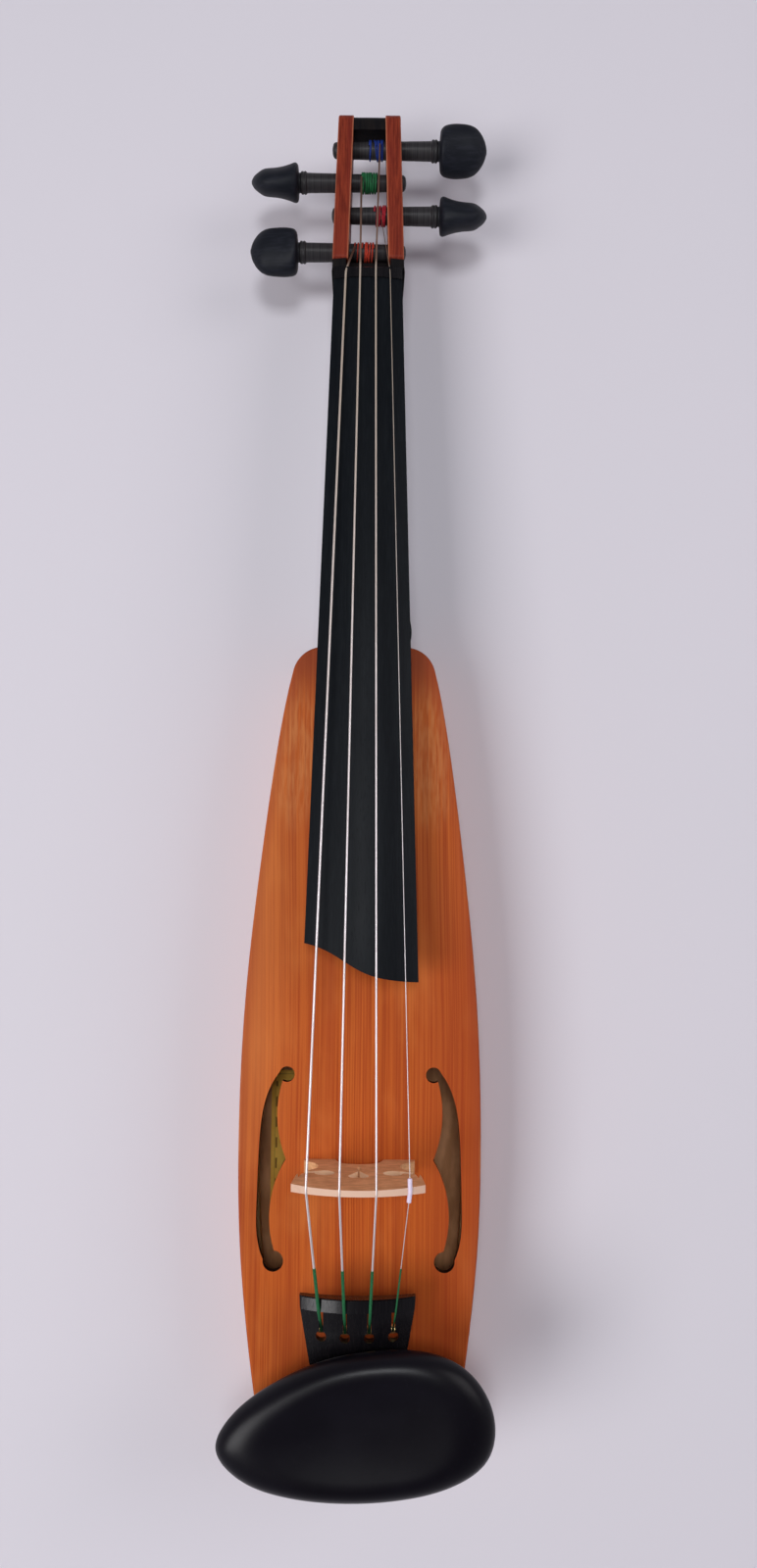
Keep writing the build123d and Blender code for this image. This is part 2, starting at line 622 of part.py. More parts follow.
# ---- pegs, each with the silk end of its string wound on ----------------------------------------
for key, spec in STRINGS.items():
    turn = radians(spec["turn"])
    lengthwise = Plane(
        origin=(0, spec["y"], PEG_Z), x_dir=(spec["side"], 0, 0), z_dir=(0, sin(turn), cos(turn)),
    )
    with BuildPart() as peg:
        with BuildSketch(lengthwise):
            with BuildLine():
                tip = peg_radius(-PEG_TIP)
                ThreePointArc((-PEG_TIP, 0), (-PEG_TIP + 0.4, tip * 0.7), (-PEG_TIP + 1.2, tip))
                Polyline(
                    (-PEG_TIP + 1.2, tip), (PEG_RING, SHAFT_AT_RING), (PEG_RING, RING_RADIUS),
                    (PEG_RING_END, RING_RADIUS), (PEG_RING_END, SHAFT_AT_RING),
                    (PEG_HEAD_START + 1, SHAFT_AT_RING), (PEG_HEAD_START + 1, 0), (-PEG_TIP, 0),
                )
            make_face()
        revolve(axis=Axis((0, spec["y"], PEG_Z), (1, 0, 0)))
        # thumb head: flattened ovals along the peg's axis
        for distance, half, thick in PEG_HEAD:
            with BuildSketch(Plane(
                origin=(spec["side"] * (PEG_HEAD_START + distance), spec["y"], PEG_Z),
                x_dir=(0, cos(turn), -sin(turn)), z_dir=(1, 0, 0),
            )):
                Ellipse(half, thick)
        loft(ruled=True)
    save(peg, f"peg_{key}")
    bore = peg_radius(spec["wind"] * spec["side"] + spec["width"] / 2) + 0.02
    with BuildPart() as winding:
        with BuildSketch(Plane(origin=(spec["wind"] - spec["width"] / 2, spec["y"], PEG_Z), z_dir=(1, 0, 0))):
            Circle(WINDING_RADIUS)
            Circle(bore, mode=Mode.SUBTRACT)
        extrude(amount=spec["width"])
    save(winding, f"winding_{key}")

# ---- tailpiece, tailgut, saddle and end button ----------------------------------------------------
TAIL_SECTIONS = ((-37.3, 19.4), (-41.5, 19.2), (-60.0, 16.0), (TAIL_END, 10.5))
with BuildPart() as tailpiece:
    for y, half in TAIL_SECTIONS:
        top = tail_crown(y)
        with BuildSketch(across(y)):
            with BuildLine():
                low = top - sag(half) - 2.6
                Polyline((-half, top - sag(half)), (-half, low))
                ThreePointArc((-half, low), (0, top - TAIL_THICK), (half, low))
                Line((half, low), (half, top - sag(half)))
                ThreePointArc((half, top - sag(half)), (0, top), (-half, top - sag(half)))
            make_face()
    loft(ruled=True)
    with BuildSketch(across(-37.6)):
        with BuildLine():
            half = 18.7
            top = TAIL_TOP + 1.0
            ThreePointArc((-half, top - sag(half)), (0, top), (half, top - sag(half)))
            Line((half, top - sag(half)), (half, top - 3 - sag(half)))
            ThreePointArc((half, top - 3 - sag(half)), (0, top - 3), (-half, top - 3 - sag(half)))
            Line((-half, top - 3 - sag(half)), (-half, top - sag(half)))
        make_face()
    extrude(amount=4.0)
    for spec in STRINGS.values():
        x = spec["tail"] * 0.94
        with BuildSketch(Plane.XY.offset(40)):
            with Locations((x, KEYHOLE_Y - 0.8)):
                Circle(1.75)
            with Locations((x, (FRET_Y - 1.0 + KEYHOLE_Y) / 2)):
                Rectangle(1.3, FRET_Y - 1.0 - KEYHOLE_Y)
        extrude(amount=30, mode=Mode.SUBTRACT)
        add(string_tube(spec, spec["r"] + SILK_WALL + 0.04, 2, 4), mode=Mode.SUBTRACT)
    gut_mouth = tail_crown(TAIL_END) - 2.4
    with BuildSketch(across(TAIL_END)):
        with Locations((-GUT_X, gut_mouth), (GUT_X, gut_mouth)):
            Circle(GUT_RADIUS + 0.15)
    extrude(amount=-9, mode=Mode.SUBTRACT)
save(tailpiece, "tailpiece")

SADDLE_TOP = 40.6
GUT_Y = -105.6
with BuildPart() as tailgut:
    with BuildLine() as gut_route:
        FilletPolyline(
            (GUT_X, TAIL_END + 7.5, gut_mouth), (GUT_X, TAIL_END - 2.5, gut_mouth),
            (GUT_X, -101.5, SADDLE_TOP + GUT_RADIUS + 0.5), (GUT_X, GUT_Y, SADDLE_TOP - 2.2),
            (GUT_X + 1.0, GUT_Y, BUTTON_Z - 5.2), (-GUT_X - 1.0, GUT_Y, BUTTON_Z - 5.2),
            (-GUT_X, GUT_Y, SADDLE_TOP - 2.2), (-GUT_X, -101.5, SADDLE_TOP + GUT_RADIUS + 0.5),
            (-GUT_X, TAIL_END - 2.5, gut_mouth), (-GUT_X, TAIL_END + 7.5, gut_mouth),
            radius=(8, 4, 3, 4.9, 4.9, 3, 4, 8),
        )
    with BuildSketch(Plane(origin=gut_route.line @ 0, z_dir=gut_route.line % 0)):
        Circle(GUT_RADIUS)
    sweep()
save(tailgut, "tailgut")

with BuildPart() as saddle:
    with BuildSketch(Plane.YZ.offset(-SADDLE_HALF)):
        with BuildLine():
            FilletPolyline(
                (SADDLE_END, RIB_TOP), (SADDLE_END, BODY_DEPTH + 2.4), (-101.6, SADDLE_TOP),
                (LOWER_END, SADDLE_TOP - 1.2), (LOWER_END, RIB_TOP), radius=(0.8, 1.2, 0.8),
            )
            Line((LOWER_END, RIB_TOP), (SADDLE_END, RIB_TOP))
        make_face()
    extrude(amount=2 * SADDLE_HALF)
    with BuildSketch(Plane(origin=gut_route.line @ 0, z_dir=gut_route.line % 0)):
        Circle(GUT_RADIUS + 0.05)
    sweep(path=gut_route.line, mode=Mode.SUBTRACT)
save(saddle, "saddle")

with BuildPart() as end_button:
    with BuildSketch(Plane.XY.offset(BUTTON_Z)):
        with BuildLine():
            Polyline(
                (0, -88), (BUTTON_HOLE - 0.4, -88), (BUTTON_HOLE - 0.1, -107.0), (4.6, -107.6), (6.4, -108.4),
            )
            Spline((6.4, -108.4), (6.5, -112.0), (3.6, -115.0), (0, -115.4), tangents=[(0.3, -1), (-1, 0)])
            Line((0, -115.4), (0, -88))
        make_face()
    revolve(axis=Axis((0, 0, BUTTON_Z), (0, 1, 0)))
save(end_button, "end_button")

# ---- chin rest and its clamp --------------------------------------------------------------------
with BuildPart() as chin_rest:
    with BuildSketch(Plane.XY.offset(REST_RIM - REST_THICK)):
        with BuildLine():
            Spline(
                (10, -52.2), (25.3, -53.2), (36.0, -58.3), (42.9, -66.8), (45.4, -77.0), (43.2, -85.6),
                (34.3, -92.9), (17, -98.0), (-6, -99.5), (-26.5, -97.0), (-39.8, -91.2), (-45.6, -83.0),
                (-42.4, -75.2), (-31.0, -65.2), (-14.5, -56.9), periodic=True,
            )
        make_face()
    extrude(amount=REST_THICK)
    fillet(chin_rest.edges().group_by(Axis.Z)[0], radius=3.0)
    fillet(chin_rest.edges().group_by(Axis.Z)[-1], radius=1.6)
    with Locations((0, -74, REST_RIM + 148)):
        Sphere(151, mode=Mode.SUBTRACT)
    with BuildSketch(Plane.XY.offset(BODY_DEPTH + CORK)):
        with Locations((-REST_FOOT_X, (FOOT_LOW + FOOT_HIGH) / 2), (REST_FOOT_X, (FOOT_LOW + FOOT_HIGH) / 2)):
            RectangleRounded(FOOT_WIDTH, FOOT_HIGH - FOOT_LOW, 2.5)
    extrude(amount=REST_RIM - REST_THICK + 2 - BODY_DEPTH - CORK)
    with BuildSketch(Plane.XY.offset(TONGUE_LOW)):
        with Locations(*((sign * REST_FOOT_X, (FOOT_LOW + TONGUE_END) / 2) for sign in (-1, 1))):
            Rectangle(TONGUE_WIDTH, TONGUE_END - FOOT_LOW)
    extrude(amount=TONGUE_THICK, mode=Mode.SUBTRACT)
    with BuildSketch(Plane.XY.offset(BODY_DEPTH + CORK)):
        with Locations((-REST_FOOT_X, SCREW_Y), (REST_FOOT_X, SCREW_Y)):
            Circle(SCREW_HEAD + 0.1)
    extrude(amount=TONGUE_LOW - BODY_DEPTH - CORK, mode=Mode.SUBTRACT)
    with BuildSketch(Plane.XY.offset(TONGUE_LOW)):
        with Locations((-REST_FOOT_X, SCREW_Y), (REST_FOOT_X, SCREW_Y)):
            Circle(SCREW_SHANK)
    extrude(amount=SCREW_LENGTH, mode=Mode.SUBTRACT)
save(chin_rest, "chin_rest")

with BuildPart() as chin_rest_corks:
    with BuildSketch(Plane.XY.offset(BODY_DEPTH)):
        with Locations((-REST_FOOT_X, (FOOT_LOW + FOOT_HIGH) / 2), (REST_FOOT_X, (FOOT_LOW + FOOT_HIGH) / 2)):
            RectangleRounded(FOOT_WIDTH, FOOT_HIGH - FOOT_LOW, 2.5)
    extrude(amount=CORK)
save(chin_rest_corks, "chin_rest_corks")

with BuildPart() as clamp_rods:
    with BuildSketch(Plane.XY.offset(TONGUE_LOW)):
        with Locations(*((sign * REST_FOOT_X, (CLAMP_Y - TONGUE_LAP + TONGUE_END) / 2) for sign in (-1, 1))):
            Rectangle(TONGUE_WIDTH - 0.1, TONGUE_END - CLAMP_Y + TONGUE_LAP)
        with Locations((-REST_FOOT_X, SCREW_Y), (REST_FOOT_X, SCREW_Y)):
            Circle(SCREW_SHANK + 0.05, mode=Mode.SUBTRACT)
    extrude(amount=TONGUE_THICK)
    with BuildSketch(Plane.XY.offset(TONGUE_LOW)):
        with Locations((-REST_FOOT_X, CLAMP_Y), (REST_FOOT_X, CLAMP_Y)):
            Circle(LEG_RADIUS)
    extrude(amount=-(TONGUE_LOW - BARREL_HIGH + 5))
save(clamp_rods, "clamp_rods")

with BuildPart() as clamp_screws:
    with BuildSketch(Plane.XY.offset(TONGUE_LOW)):
        with Locations((-REST_FOOT_X, SCREW_Y), (REST_FOOT_X, SCREW_Y)):
            Circle(SCREW_HEAD)
            SlotOverall(2 * SCREW_HEAD - 0.6, 0.5, mode=Mode.SUBTRACT)
    extrude(amount=-0.7)
    with BuildSketch(Plane.XY.offset(TONGUE_LOW - 0.7)):
        with Locations((-REST_FOOT_X, SCREW_Y), (REST_FOOT_X, SCREW_Y)):
            Circle(SCREW_HEAD)
    extrude(amount=0.7)
    with BuildSketch(Plane.XY.offset(TONGUE_LOW)):
        with Locations((-REST_FOOT_X, SCREW_Y), (REST_FOOT_X, SCREW_Y)):
            Circle(SCREW_SHANK - 0.02)
    extrude(amount=SCREW_LENGTH - 0.5)
save(clamp_screws, "clamp_screws")

for name, sign in (("barrel_bass", -1), ("barrel_treble", 1)):
    with BuildPart() as barrel:
        with BuildSketch(Plane.XY.offset(BARREL_LOW)):
            with Locations((sign * REST_FOOT_X, CLAMP_Y)):
                Circle(BARREL_RADIUS)
                Circle(LEG_RADIUS + RUNNING_GAP, mode=Mode.SUBTRACT)
        extrude(amount=BARREL_HIGH - BARREL_LOW)
        chamfer(barrel.edges().group_by(Axis.Z)[0], length=0.4)
        chamfer(barrel.edges().group_by(Axis.Z)[-1], length=0.4)
        with BuildSketch(Plane.YZ.offset(sign * REST_FOOT_X)):
            with Locations(*((CLAMP_Y, (BARREL_LOW + BARREL_HIGH) / 2 + rise) for rise in (-3, 3))):
                Circle(0.9)
        extrude(amount=BARREL_RADIUS + 1, both=True, mode=Mode.SUBTRACT)
    save(barrel, name)

with BuildPart() as clamp_foot:
    with BuildSketch(Plane.XY.offset(CLAMP_FOOT_LOW)):
        with Locations((0, (RECESS_END - 1 + CLAMP_Y - 3) / 2)):
            RectangleRounded(2 * RECESS_HALF - 2, RECESS_END - 1 - CLAMP_Y + 3, 2.4)
    extrude(amount=CLAMP_FOOT_THICK)
    with BuildSketch(Plane.XY.offset(CLAMP_FOOT_LOW + CLAMP_FOOT_THICK)):
        with Locations((-REST_FOOT_X, CLAMP_Y), (REST_FOOT_X, CLAMP_Y)):
            Circle(LEG_RADIUS)
    extrude(amount=BARREL_LOW + 7.5 - CLAMP_FOOT_LOW - CLAMP_FOOT_THICK)
save(clamp_foot, "clamp_foot")

with BuildPart() as clamp_cork:
    with BuildSketch(Plane.XY.offset(CLAMP_FOOT_LOW + CLAMP_FOOT_THICK)):
        with Locations((0, (RECESS_END - 1.4 + LOWER_END + 1.4) / 2)):
            RectangleRounded(2 * RECESS_HALF - 3, RECESS_END - 1.4 - LOWER_END - 1.4, 1.0)
    extrude(amount=PLATE - CLAMP_FOOT_LOW - CLAMP_FOOT_THICK - 0.15)
save(clamp_cork, "clamp_cork")
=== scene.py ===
"""Looks of a slim travel violin: stained plates, black fittings, wound strings and silks.

Lengths in this file are millimetres until a mesh is written, and +Y runs from the bridge to the head.
"""

import json
from math import cos, pi, radians, sin, sqrt

import bpy
import numpy as np
from mathutils import Matrix


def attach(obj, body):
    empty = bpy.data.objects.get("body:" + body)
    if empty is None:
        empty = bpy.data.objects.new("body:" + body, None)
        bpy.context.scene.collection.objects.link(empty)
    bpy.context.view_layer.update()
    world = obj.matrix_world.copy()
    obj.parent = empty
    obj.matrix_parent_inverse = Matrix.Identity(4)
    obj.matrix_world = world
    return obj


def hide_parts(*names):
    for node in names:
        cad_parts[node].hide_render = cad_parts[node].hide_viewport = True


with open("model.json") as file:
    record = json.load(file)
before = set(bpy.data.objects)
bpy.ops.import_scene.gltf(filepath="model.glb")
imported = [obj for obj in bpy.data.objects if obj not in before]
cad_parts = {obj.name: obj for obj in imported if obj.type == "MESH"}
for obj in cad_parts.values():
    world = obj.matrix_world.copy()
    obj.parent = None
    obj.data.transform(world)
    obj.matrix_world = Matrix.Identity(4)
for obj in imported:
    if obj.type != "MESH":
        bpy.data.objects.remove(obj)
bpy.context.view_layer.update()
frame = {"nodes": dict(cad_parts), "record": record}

MM = 0.001
scene = bpy.context.scene
scene.view_settings.view_transform = "Standard"

# ---- camera, straight above the belly and leaning a little towards the head -------------------
CAMERA_PLACE = (5.55, 99.0, 459.14)
CAMERA_PITCH = radians(4.963)
CAMERA_ROLL = radians(0.49)
camera_data = bpy.data.cameras.new("camera")
camera_data.lens = 27.0
camera_data.sensor_width = 36.0
camera_data.clip_start = 0.01
camera = bpy.data.objects.new("camera", camera_data)
scene.collection.objects.link(camera)
camera.matrix_world = (
    Matrix.Translation([value * MM for value in CAMERA_PLACE])
    @ Matrix.Rotation(CAMERA_PITCH, 4, "X")
    @ Matrix.Rotation(CAMERA_ROLL, 4, "Z")
)
scene.camera = camera


# ---- soft studio light ---------------------------------------------------------------------------
def softbox(name, place, target, size, power, colour):
    """Square area light at place, turned to face target."""
    data = bpy.data.lights.new(name, "AREA")
    data.size = size
    data.energy = power
    data.color = colour
    lamp = bpy.data.objects.new(name, data)
    scene.collection.objects.link(lamp)
    start = np.array(place, float)
    aim = np.array(target, float) - start
    aim /= np.linalg.norm(aim)
    side = np.cross(aim, (0.0, 1.0, 0.0))
    side /= np.linalg.norm(side)
    over = np.cross(side, aim)
    turn = Matrix([list(side), list(over), list(-aim)]).transposed().to_4x4()
    lamp.matrix_world = Matrix.Translation(start) @ turn


softbox("window_light", (-1.00, -0.32, 1.42), (0.0, 0.10, 0.0), 0.90, 15.3, (1.0, 0.985, 1.0))
softbox("ceiling_light", (-0.01, 0.35, 1.60), (0.0, 0.1, 0.0), 0.34, 6.6, (0.95, 0.97, 1.0))
softbox("fill_light", (1.25, 0.55, 1.10), (0.0, 0.1, 0.0), 0.9, 5.0, (1.0, 0.96, 0.98))

# surroundings: pale near the floor, dim overhead
world = bpy.data.worlds.new("studio")
scene.world = world
world.use_nodes = True
sky = world.node_tree
heading = sky.nodes.new("ShaderNodeTexCoord")
split = sky.nodes.new("ShaderNodeSeparateXYZ")
rise = sky.nodes.new("ShaderNodeMapRange")
shade = sky.nodes.new("ShaderNodeMix")
shade.data_type = "RGBA"
rise.inputs["From Min"].default_value = 0.0
rise.inputs["From Max"].default_value = 0.85
shade.inputs[6].default_value = (0.74, 0.72, 0.80, 1.0)
shade.inputs[7].default_value = (0.10, 0.10, 0.115, 1.0)
sky.links.new(heading.outputs["Generated"], split.inputs["Vector"])
sky.links.new(split.outputs["Z"], rise.inputs["Value"])
sky.links.new(rise.outputs["Result"], shade.inputs[0])
sky.links.new(shade.outputs[2], sky.nodes["Background"].inputs["Color"])
sky.nodes["Background"].inputs["Strength"].default_value = 0.60

# ---- material maths ------------------------------------------------------------------------------
LIGHT_LEVEL = 0.80          # how bright a white surface shows under these lights


def tint(red, green, blue):
    """Reflectance of a finish that shows as this 0-255 display colour under the studio light."""
    shown = np.array([red, green, blue]) / 255
    linear = np.where(shown <= 0.04045, shown / 12.92, ((shown + 0.055) / 1.055) ** 2.4)
    return (*np.clip(linear / LIGHT_LEVEL, 0, 1), 1.0)


class Value:
    """A number's socket. Arithmetic on it adds Math nodes, with plain numbers on either side."""

    def __init__(self, paint, socket):
        self.paint = paint
        self.socket = socket

    def math(self, operation, first, second=0.0):
        return self.paint.node("ShaderNodeMath", {"operation": operation}, {0: first, 1: second})

    def __add__(self, other):
        return self.math("ADD", self, other)

    def __radd__(self, other):
        return self.math("ADD", other, self)

    def __sub__(self, other):
        return self.math("SUBTRACT", self, other)

    def __rsub__(self, other):
        return self.math("SUBTRACT", other, self)

    def __mul__(self, other):
        return self.math("MULTIPLY", self, other)

    def __rmul__(self, other):
        return self.math("MULTIPLY", other, self)

    def __truediv__(self, other):
        return self.math("DIVIDE", self, other)

    def __pow__(self, other):
        return self.math("POWER", self, other)

    def __abs__(self):
        return self.math("ABSOLUTE", self)

    def __neg__(self):
        return self.math("MULTIPLY", self, -1.0)

    def sine(self):
        return self.math("SINE", self)

    def above(self, low, high):
        """0 below low, 1 above high, and a smooth step between."""
        return self.paint.node(
            "ShaderNodeMapRange", {"interpolation_type": "SMOOTHSTEP", "clamp": True},
            {"Value": self, "From Min": low, "From Max": high},
        )

    def below(self, low, high):
        return 1 - self.above(low, high)


class Paint:
    """One material: its Principled shader, and the pattern nodes that feed it."""

    def __init__(self, name, **fixed):
        self.material = bpy.data.materials.new(name)
        self.material.use_nodes = True
        self.tree = self.material.node_tree
        self.shader = self.tree.nodes["Principled BSDF"]
        for socket, value in fixed.items():
            self.shader.inputs[socket.replace("_", " ")].default_value = value
        self.place = self.scaled(self.node("ShaderNodeTexCoord", output="Object"), 1 / MM, 1 / MM, 1 / MM)
        self.x, self.y, self.z = self.parts(self.place)

    def node(self, kind, settings=(), inputs=(), output=0):
        """Any node: its settings are set first, then its inputs get values or links."""
        node = self.tree.nodes.new(kind)
        for name, value in dict(settings).items():
            setattr(node, name, value)
        for name, value in dict(inputs).items():
            if isinstance(value, Value):
                self.tree.links.new(value.socket, node.inputs[name])
            else:
                node.inputs[name].default_value = value
        return Value(self, node.outputs[output])

    def parts(self, vector):
        node = self.node("ShaderNodeSeparateXYZ", {}, {"Vector": vector}).socket.node
        return [Value(self, socket) for socket in node.outputs]

    def scaled(self, vector, x, y, z):
        return self.node("ShaderNodeVectorMath", {"operation": "MULTIPLY"}, {0: vector, 1: (x, y, z)})

    def joined(self, x, y, z):
        return self.node("ShaderNodeCombineXYZ", {}, {"X": x, "Y": y, "Z": z})

    def normal(self):
        """The three parts of the surface's own direction."""
        return self.parts(self.node("ShaderNodeNewGeometry", output="Normal"))

    def noise(self, vector, scale=1.0, detail=2.0, roughness=0.5):
        return self.node(
            "ShaderNodeTexNoise", {"noise_dimensions": "3D"},
            {"Vector": vector, "Scale": scale, "Detail": detail, "Roughness": roughness},
        )

    def cells(self, vector, scale):
        """Distance to the nearest of scattered points."""
        return self.node(
            "ShaderNodeTexVoronoi", {"feature": "F1"}, {"Vector": vector, "Scale": scale}, output="Distance",
        )

    def mix(self, share, first, second):
        """Colour between first and second."""
        return self.node("ShaderNodeMix", {"data_type": "RGBA"}, {0: share, 6: first, 7: second}, output=2)

    def feed(self, socket, value):
        self.tree.links.new(value.socket, self.shader.inputs[socket])

    def bump(self, height, distance, strength=1.0):
        """Raises the surface by height times distance, in millimetres."""
        self.feed("Normal", self.node(
            "ShaderNodeBump", {}, {"Strength": strength, "Distance": distance * MM, "Height": height},
        ))


# ---- finishes --------------------------------------------------------------------------------------
def grain_lines(paint, spacing, wander, length=90.0):
    """Straight wood grain along Y: stretched noise whose lines wander a little sideways."""
    drift = paint.noise(paint.scaled(paint.place, 0.012, 0.006, 0.012), detail=1)
    sideways = paint.x + wander * drift
    fine = paint.noise(
        paint.joined(sideways / spacing, paint.y / length, paint.z / spacing), detail=3, roughness=0.55,
    )
    broad = paint.noise(
        paint.joined(sideways / (7 * spacing), paint.y / (3 * length), paint.z / (7 * spacing)), detail=2,
    )
    return fine, broad


def pores(paint, along, across):
    """Short dark pore strokes along Y: cells stretched lengthwise."""
    return paint.cells(paint.scaled(paint.place, 1 / across, 1 / along, 1 / across), 1.0).below(0.10, 0.32)


def varnished_spruce():
    """Thin orange-brown stain that took unevenly on straight softwood grain, under a low satin varnish, with some
    light and shade painted into its colour.
    """
    paint = Paint("varnished_spruce", Specular_IOR_Level=0.10)
    fine, broad = grain_lines(paint, 0.55, 5.0)
    blotch = paint.noise(paint.scaled(paint.place, 0.045, 0.018, 0.045), detail=3, roughness=0.6)
    half_width = 42.9 - 0.00058 * (paint.y - 8) ** 2 * paint.y.above(-45, -20)
    from_edge = half_width - abs(paint.x)
    colour = paint.mix(fine.above(0.36, 0.68), tint(186, 92, 34), tint(160, 68, 24))
    colour = paint.mix(broad.above(0.42, 0.68) * 0.45, colour, tint(146, 56, 22))
    colour = paint.mix(blotch.above(0.45, 0.75) * 0.55, colour, tint(200, 116, 56))
    # paler patches beside the fingerboard are partly where less stain took and partly a painted sheen; the shoulders
    # took more stain and are darker
    along = (paint.y - 146) / 26
    beside = (abs(paint.x) - 25) / 9
    thin_stain_and_sheen = (along ** 2 + beside ** 2).below(0.25, 1.5)
    patch_streaks = paint.noise(paint.scaled(paint.place, 0.9, 0.12, 0.9), detail=2).above(0.25, 0.75)
    colour = paint.mix(thin_stain_and_sheen * patch_streaks * 0.42, colour, tint(206, 140, 84))
    shoulder = paint.y.above(160, 182)
    colour = paint.mix(shoulder * 0.72, colour, tint(122, 50, 30))
    # painted light and shade: the treble side from the fingerboard's end down is darkened as if shaded from the
    # left-hand light and by the fingerboard, and the bass side of the upper body is painted paler as if lit
    colour = paint.mix(paint.x.above(8, 38) * paint.y.below(60, 130) * 0.5, colour, tint(146, 56, 24))
    colour = paint.mix(paint.x.below(-38, -20) * paint.y.above(-20, 40) * 0.4, colour, tint(206, 124, 66))
    # darker round the tailpiece: partly stain gathered there, partly a painted shadow of the tailpiece and chin rest
    pooled_stain_and_shadow = ((paint.x / 34) ** 2 + ((paint.y + 64) / 34) ** 2).below(0.2, 1.2)
    colour = paint.mix(pooled_stain_and_shadow * 0.45, colour, tint(134, 52, 26))
    colour = paint.mix(from_edge.below(0.5, 5.0) * 0.5, colour, tint(150, 66, 36))
    rub = paint.noise(paint.scaled(paint.place, 0.3, 0.05, 0.3), detail=3).above(0.45, 0.7)
    colour = paint.mix(from_edge.below(0.0, 1.3) * rub * 0.55, colour, tint(214, 146, 96))
    # cut walls of the sound holes get a painted dark shade, and the inside is bare; towards the lower end the edge
    # estimate runs wider than the outline, so this painted shade also falls on the belly's outer edge wall there
    upright = abs(paint.normal()[2]).below(0.25, 0.6)
    hole_wall_shade = upright * from_edge.above(2.0, 3.0)
    colour = paint.mix(hole_wall_shade, colour, tint(46, 26, 18))
    colour = paint.mix(paint.z.below(33.05, 33.25) * (1 - upright), colour, tint(176, 132, 88))
    paint.feed("Base Color", colour)
    paint.feed("Roughness", 0.36 + 0.18 * blotch + 0.1 * fine)
    paint.bump(fine * 0.7 + pores(paint, 9.0, 0.5) * -0.4, 0.05, 0.6)
    return paint.material


def maple_colour(paint, light, dark, flame):
    """Fine lengthwise grain with soft cross bands of flame."""
    fine, broad = grain_lines(paint, 0.7, 4.0, 60.0)
    wave = paint.noise(paint.scaled(paint.place, 0.03, 0.16, 0.03), detail=2)
    colour = paint.mix(fine.above(0.35, 0.68) * 0.6 + broad.above(0.4, 0.7) * 0.4, light, dark)
    return paint.mix(wave.above(0.45, 0.62) * 0.4, colour, flame), fine


def stained_maple():
    """Back and ribs: the same stain on hardwood with a faint flame, bare wood inside the box."""
    paint = Paint("stained_maple", Specular_IOR_Level=0.2)
    colour, fine = maple_colour(paint, tint(190, 104, 54), tint(146, 64, 32), tint(166, 78, 38))
    nx, _, nz = paint.normal()
    dust = paint.noise(paint.scaled(paint.place, 0.25, 0.07, 0.25), detail=3)
    bare = paint.mix(dust.above(0.35, 0.65), tint(196, 142, 100), tint(166, 114, 74))
    inside = paint.z.above(2.7, 2.9) * nz.above(0.5, 0.8) + (nx * paint.x).below(-0.6, -0.2) * paint.z.above(3.1, 3.4)
    colour = paint.mix(inside.above(0.2, 0.8), colour, bare)
    paint.feed("Base Color", colour)
    paint.feed("Roughness", 0.4 + 0.18 * fine)
    paint.bump(fine, 0.04, 0.5)
    return paint.material


def bare_spruce():
    """Blocks, linings, bass bar and sound post: unvarnished softwood with clear year lines."""
    paint = Paint("bare_spruce", Specular_IOR_Level=0.25)
    fine, _ = grain_lines(paint, 0.6, 2.0)
    paint.feed("Base Color", paint.mix(fine.above(0.45, 0.6), tint(208, 172, 122), tint(176, 128, 80)))
    paint.feed("Roughness", 0.62 + 0.2 * fine)
    paint.bump(fine, 0.06, 0.5)
    return paint.material


def label_paper():
    """Aged olive paper with a ruled line of short plain dashes along its left margin."""
    paint = Paint("label_paper", Specular_IOR_Level=0.2)
    fibre = paint.noise(paint.scaled(paint.place, 0.8, 0.8, 0.8), detail=4, roughness=0.7)
    stain = paint.noise(paint.scaled(paint.place, 0.06, 0.06, 0.06), detail=3)
    colour = paint.mix(fibre * 0.5 + stain.above(0.35, 0.7) * 0.5, tint(240, 190, 88), tint(214, 160, 66))
    beat = (paint.y * (2 * pi / 7.6)).sine().above(-0.15, 0.15)
    on_line = abs(paint.x + 32).below(0.28, 0.42) * abs(paint.y - 4).below(20.5, 21)
    colour = paint.mix(beat * on_line * 0.8, colour, tint(96, 62, 30))
    border = (abs(abs(paint.x + 16) - 16.6)).below(0.12, 0.2) + (abs(abs(paint.y - 0.5) - 27)).below(0.12, 0.2)
    colour = paint.mix(border.above(0.1, 0.9) * 0.4, colour, tint(96, 72, 34))
    paint.feed("Base Color", colour)
    paint.feed("Roughness", 0.75 + 0.15 * fibre)
    paint.bump(fibre, 0.05, 0.4)
    return paint.material


def black_wood(name, shade, lift, roughness, sheen_lift, pore_depth, specular=0.4):
    """Black wood: near-black with slightly lighter lengthwise streaks and fine pores."""
    paint = Paint(name, Specular_IOR_Level=specular)
    fine, broad = grain_lines(paint, 0.5, 3.0, 40.0)
    pore = pores(paint, 5.0, 0.42)
    handled = paint.noise(paint.scaled(paint.place, 0.05, 0.03, 0.05), detail=3)
    colour = paint.mix(fine.above(0.42, 0.7) * 0.6 + broad.above(0.45, 0.7) * 0.4, shade, lift)
    paint.feed("Base Color", paint.mix(pore * 0.5, colour, tint(8, 7, 8)))
    paint.feed("Roughness", roughness + sheen_lift * handled + 0.08 * fine + 0.1 * pore)
    paint.bump(fine * 0.5 - pore * pore_depth, 0.05, 0.5)
    return paint


def ebony_board():
    """Fingerboard: oiled black wood with fine scraper marks along it, polished grey where fingers slide."""
    return black_wood("ebony_board", tint(7, 11, 16), tint(16, 20, 24), 0.34, 0.12, 0.5, 0.13).material


def ebony_fittings():
    """Tailpiece, nut, saddle and end button: black wood with a high polish."""
    return black_wood("ebony_fittings", tint(10, 9, 12), tint(20, 17, 19), 0.16, 0.10, 0.25, 0.32).material


def black_stained_wood():
    """Neck and head block: black stain over maple, brown at the rubbed places, nearly matte."""
    return black_wood("black_stained_wood", tint(11, 10, 13), tint(27, 22, 20), 0.44, 0.16, 0.5, 0.12).material


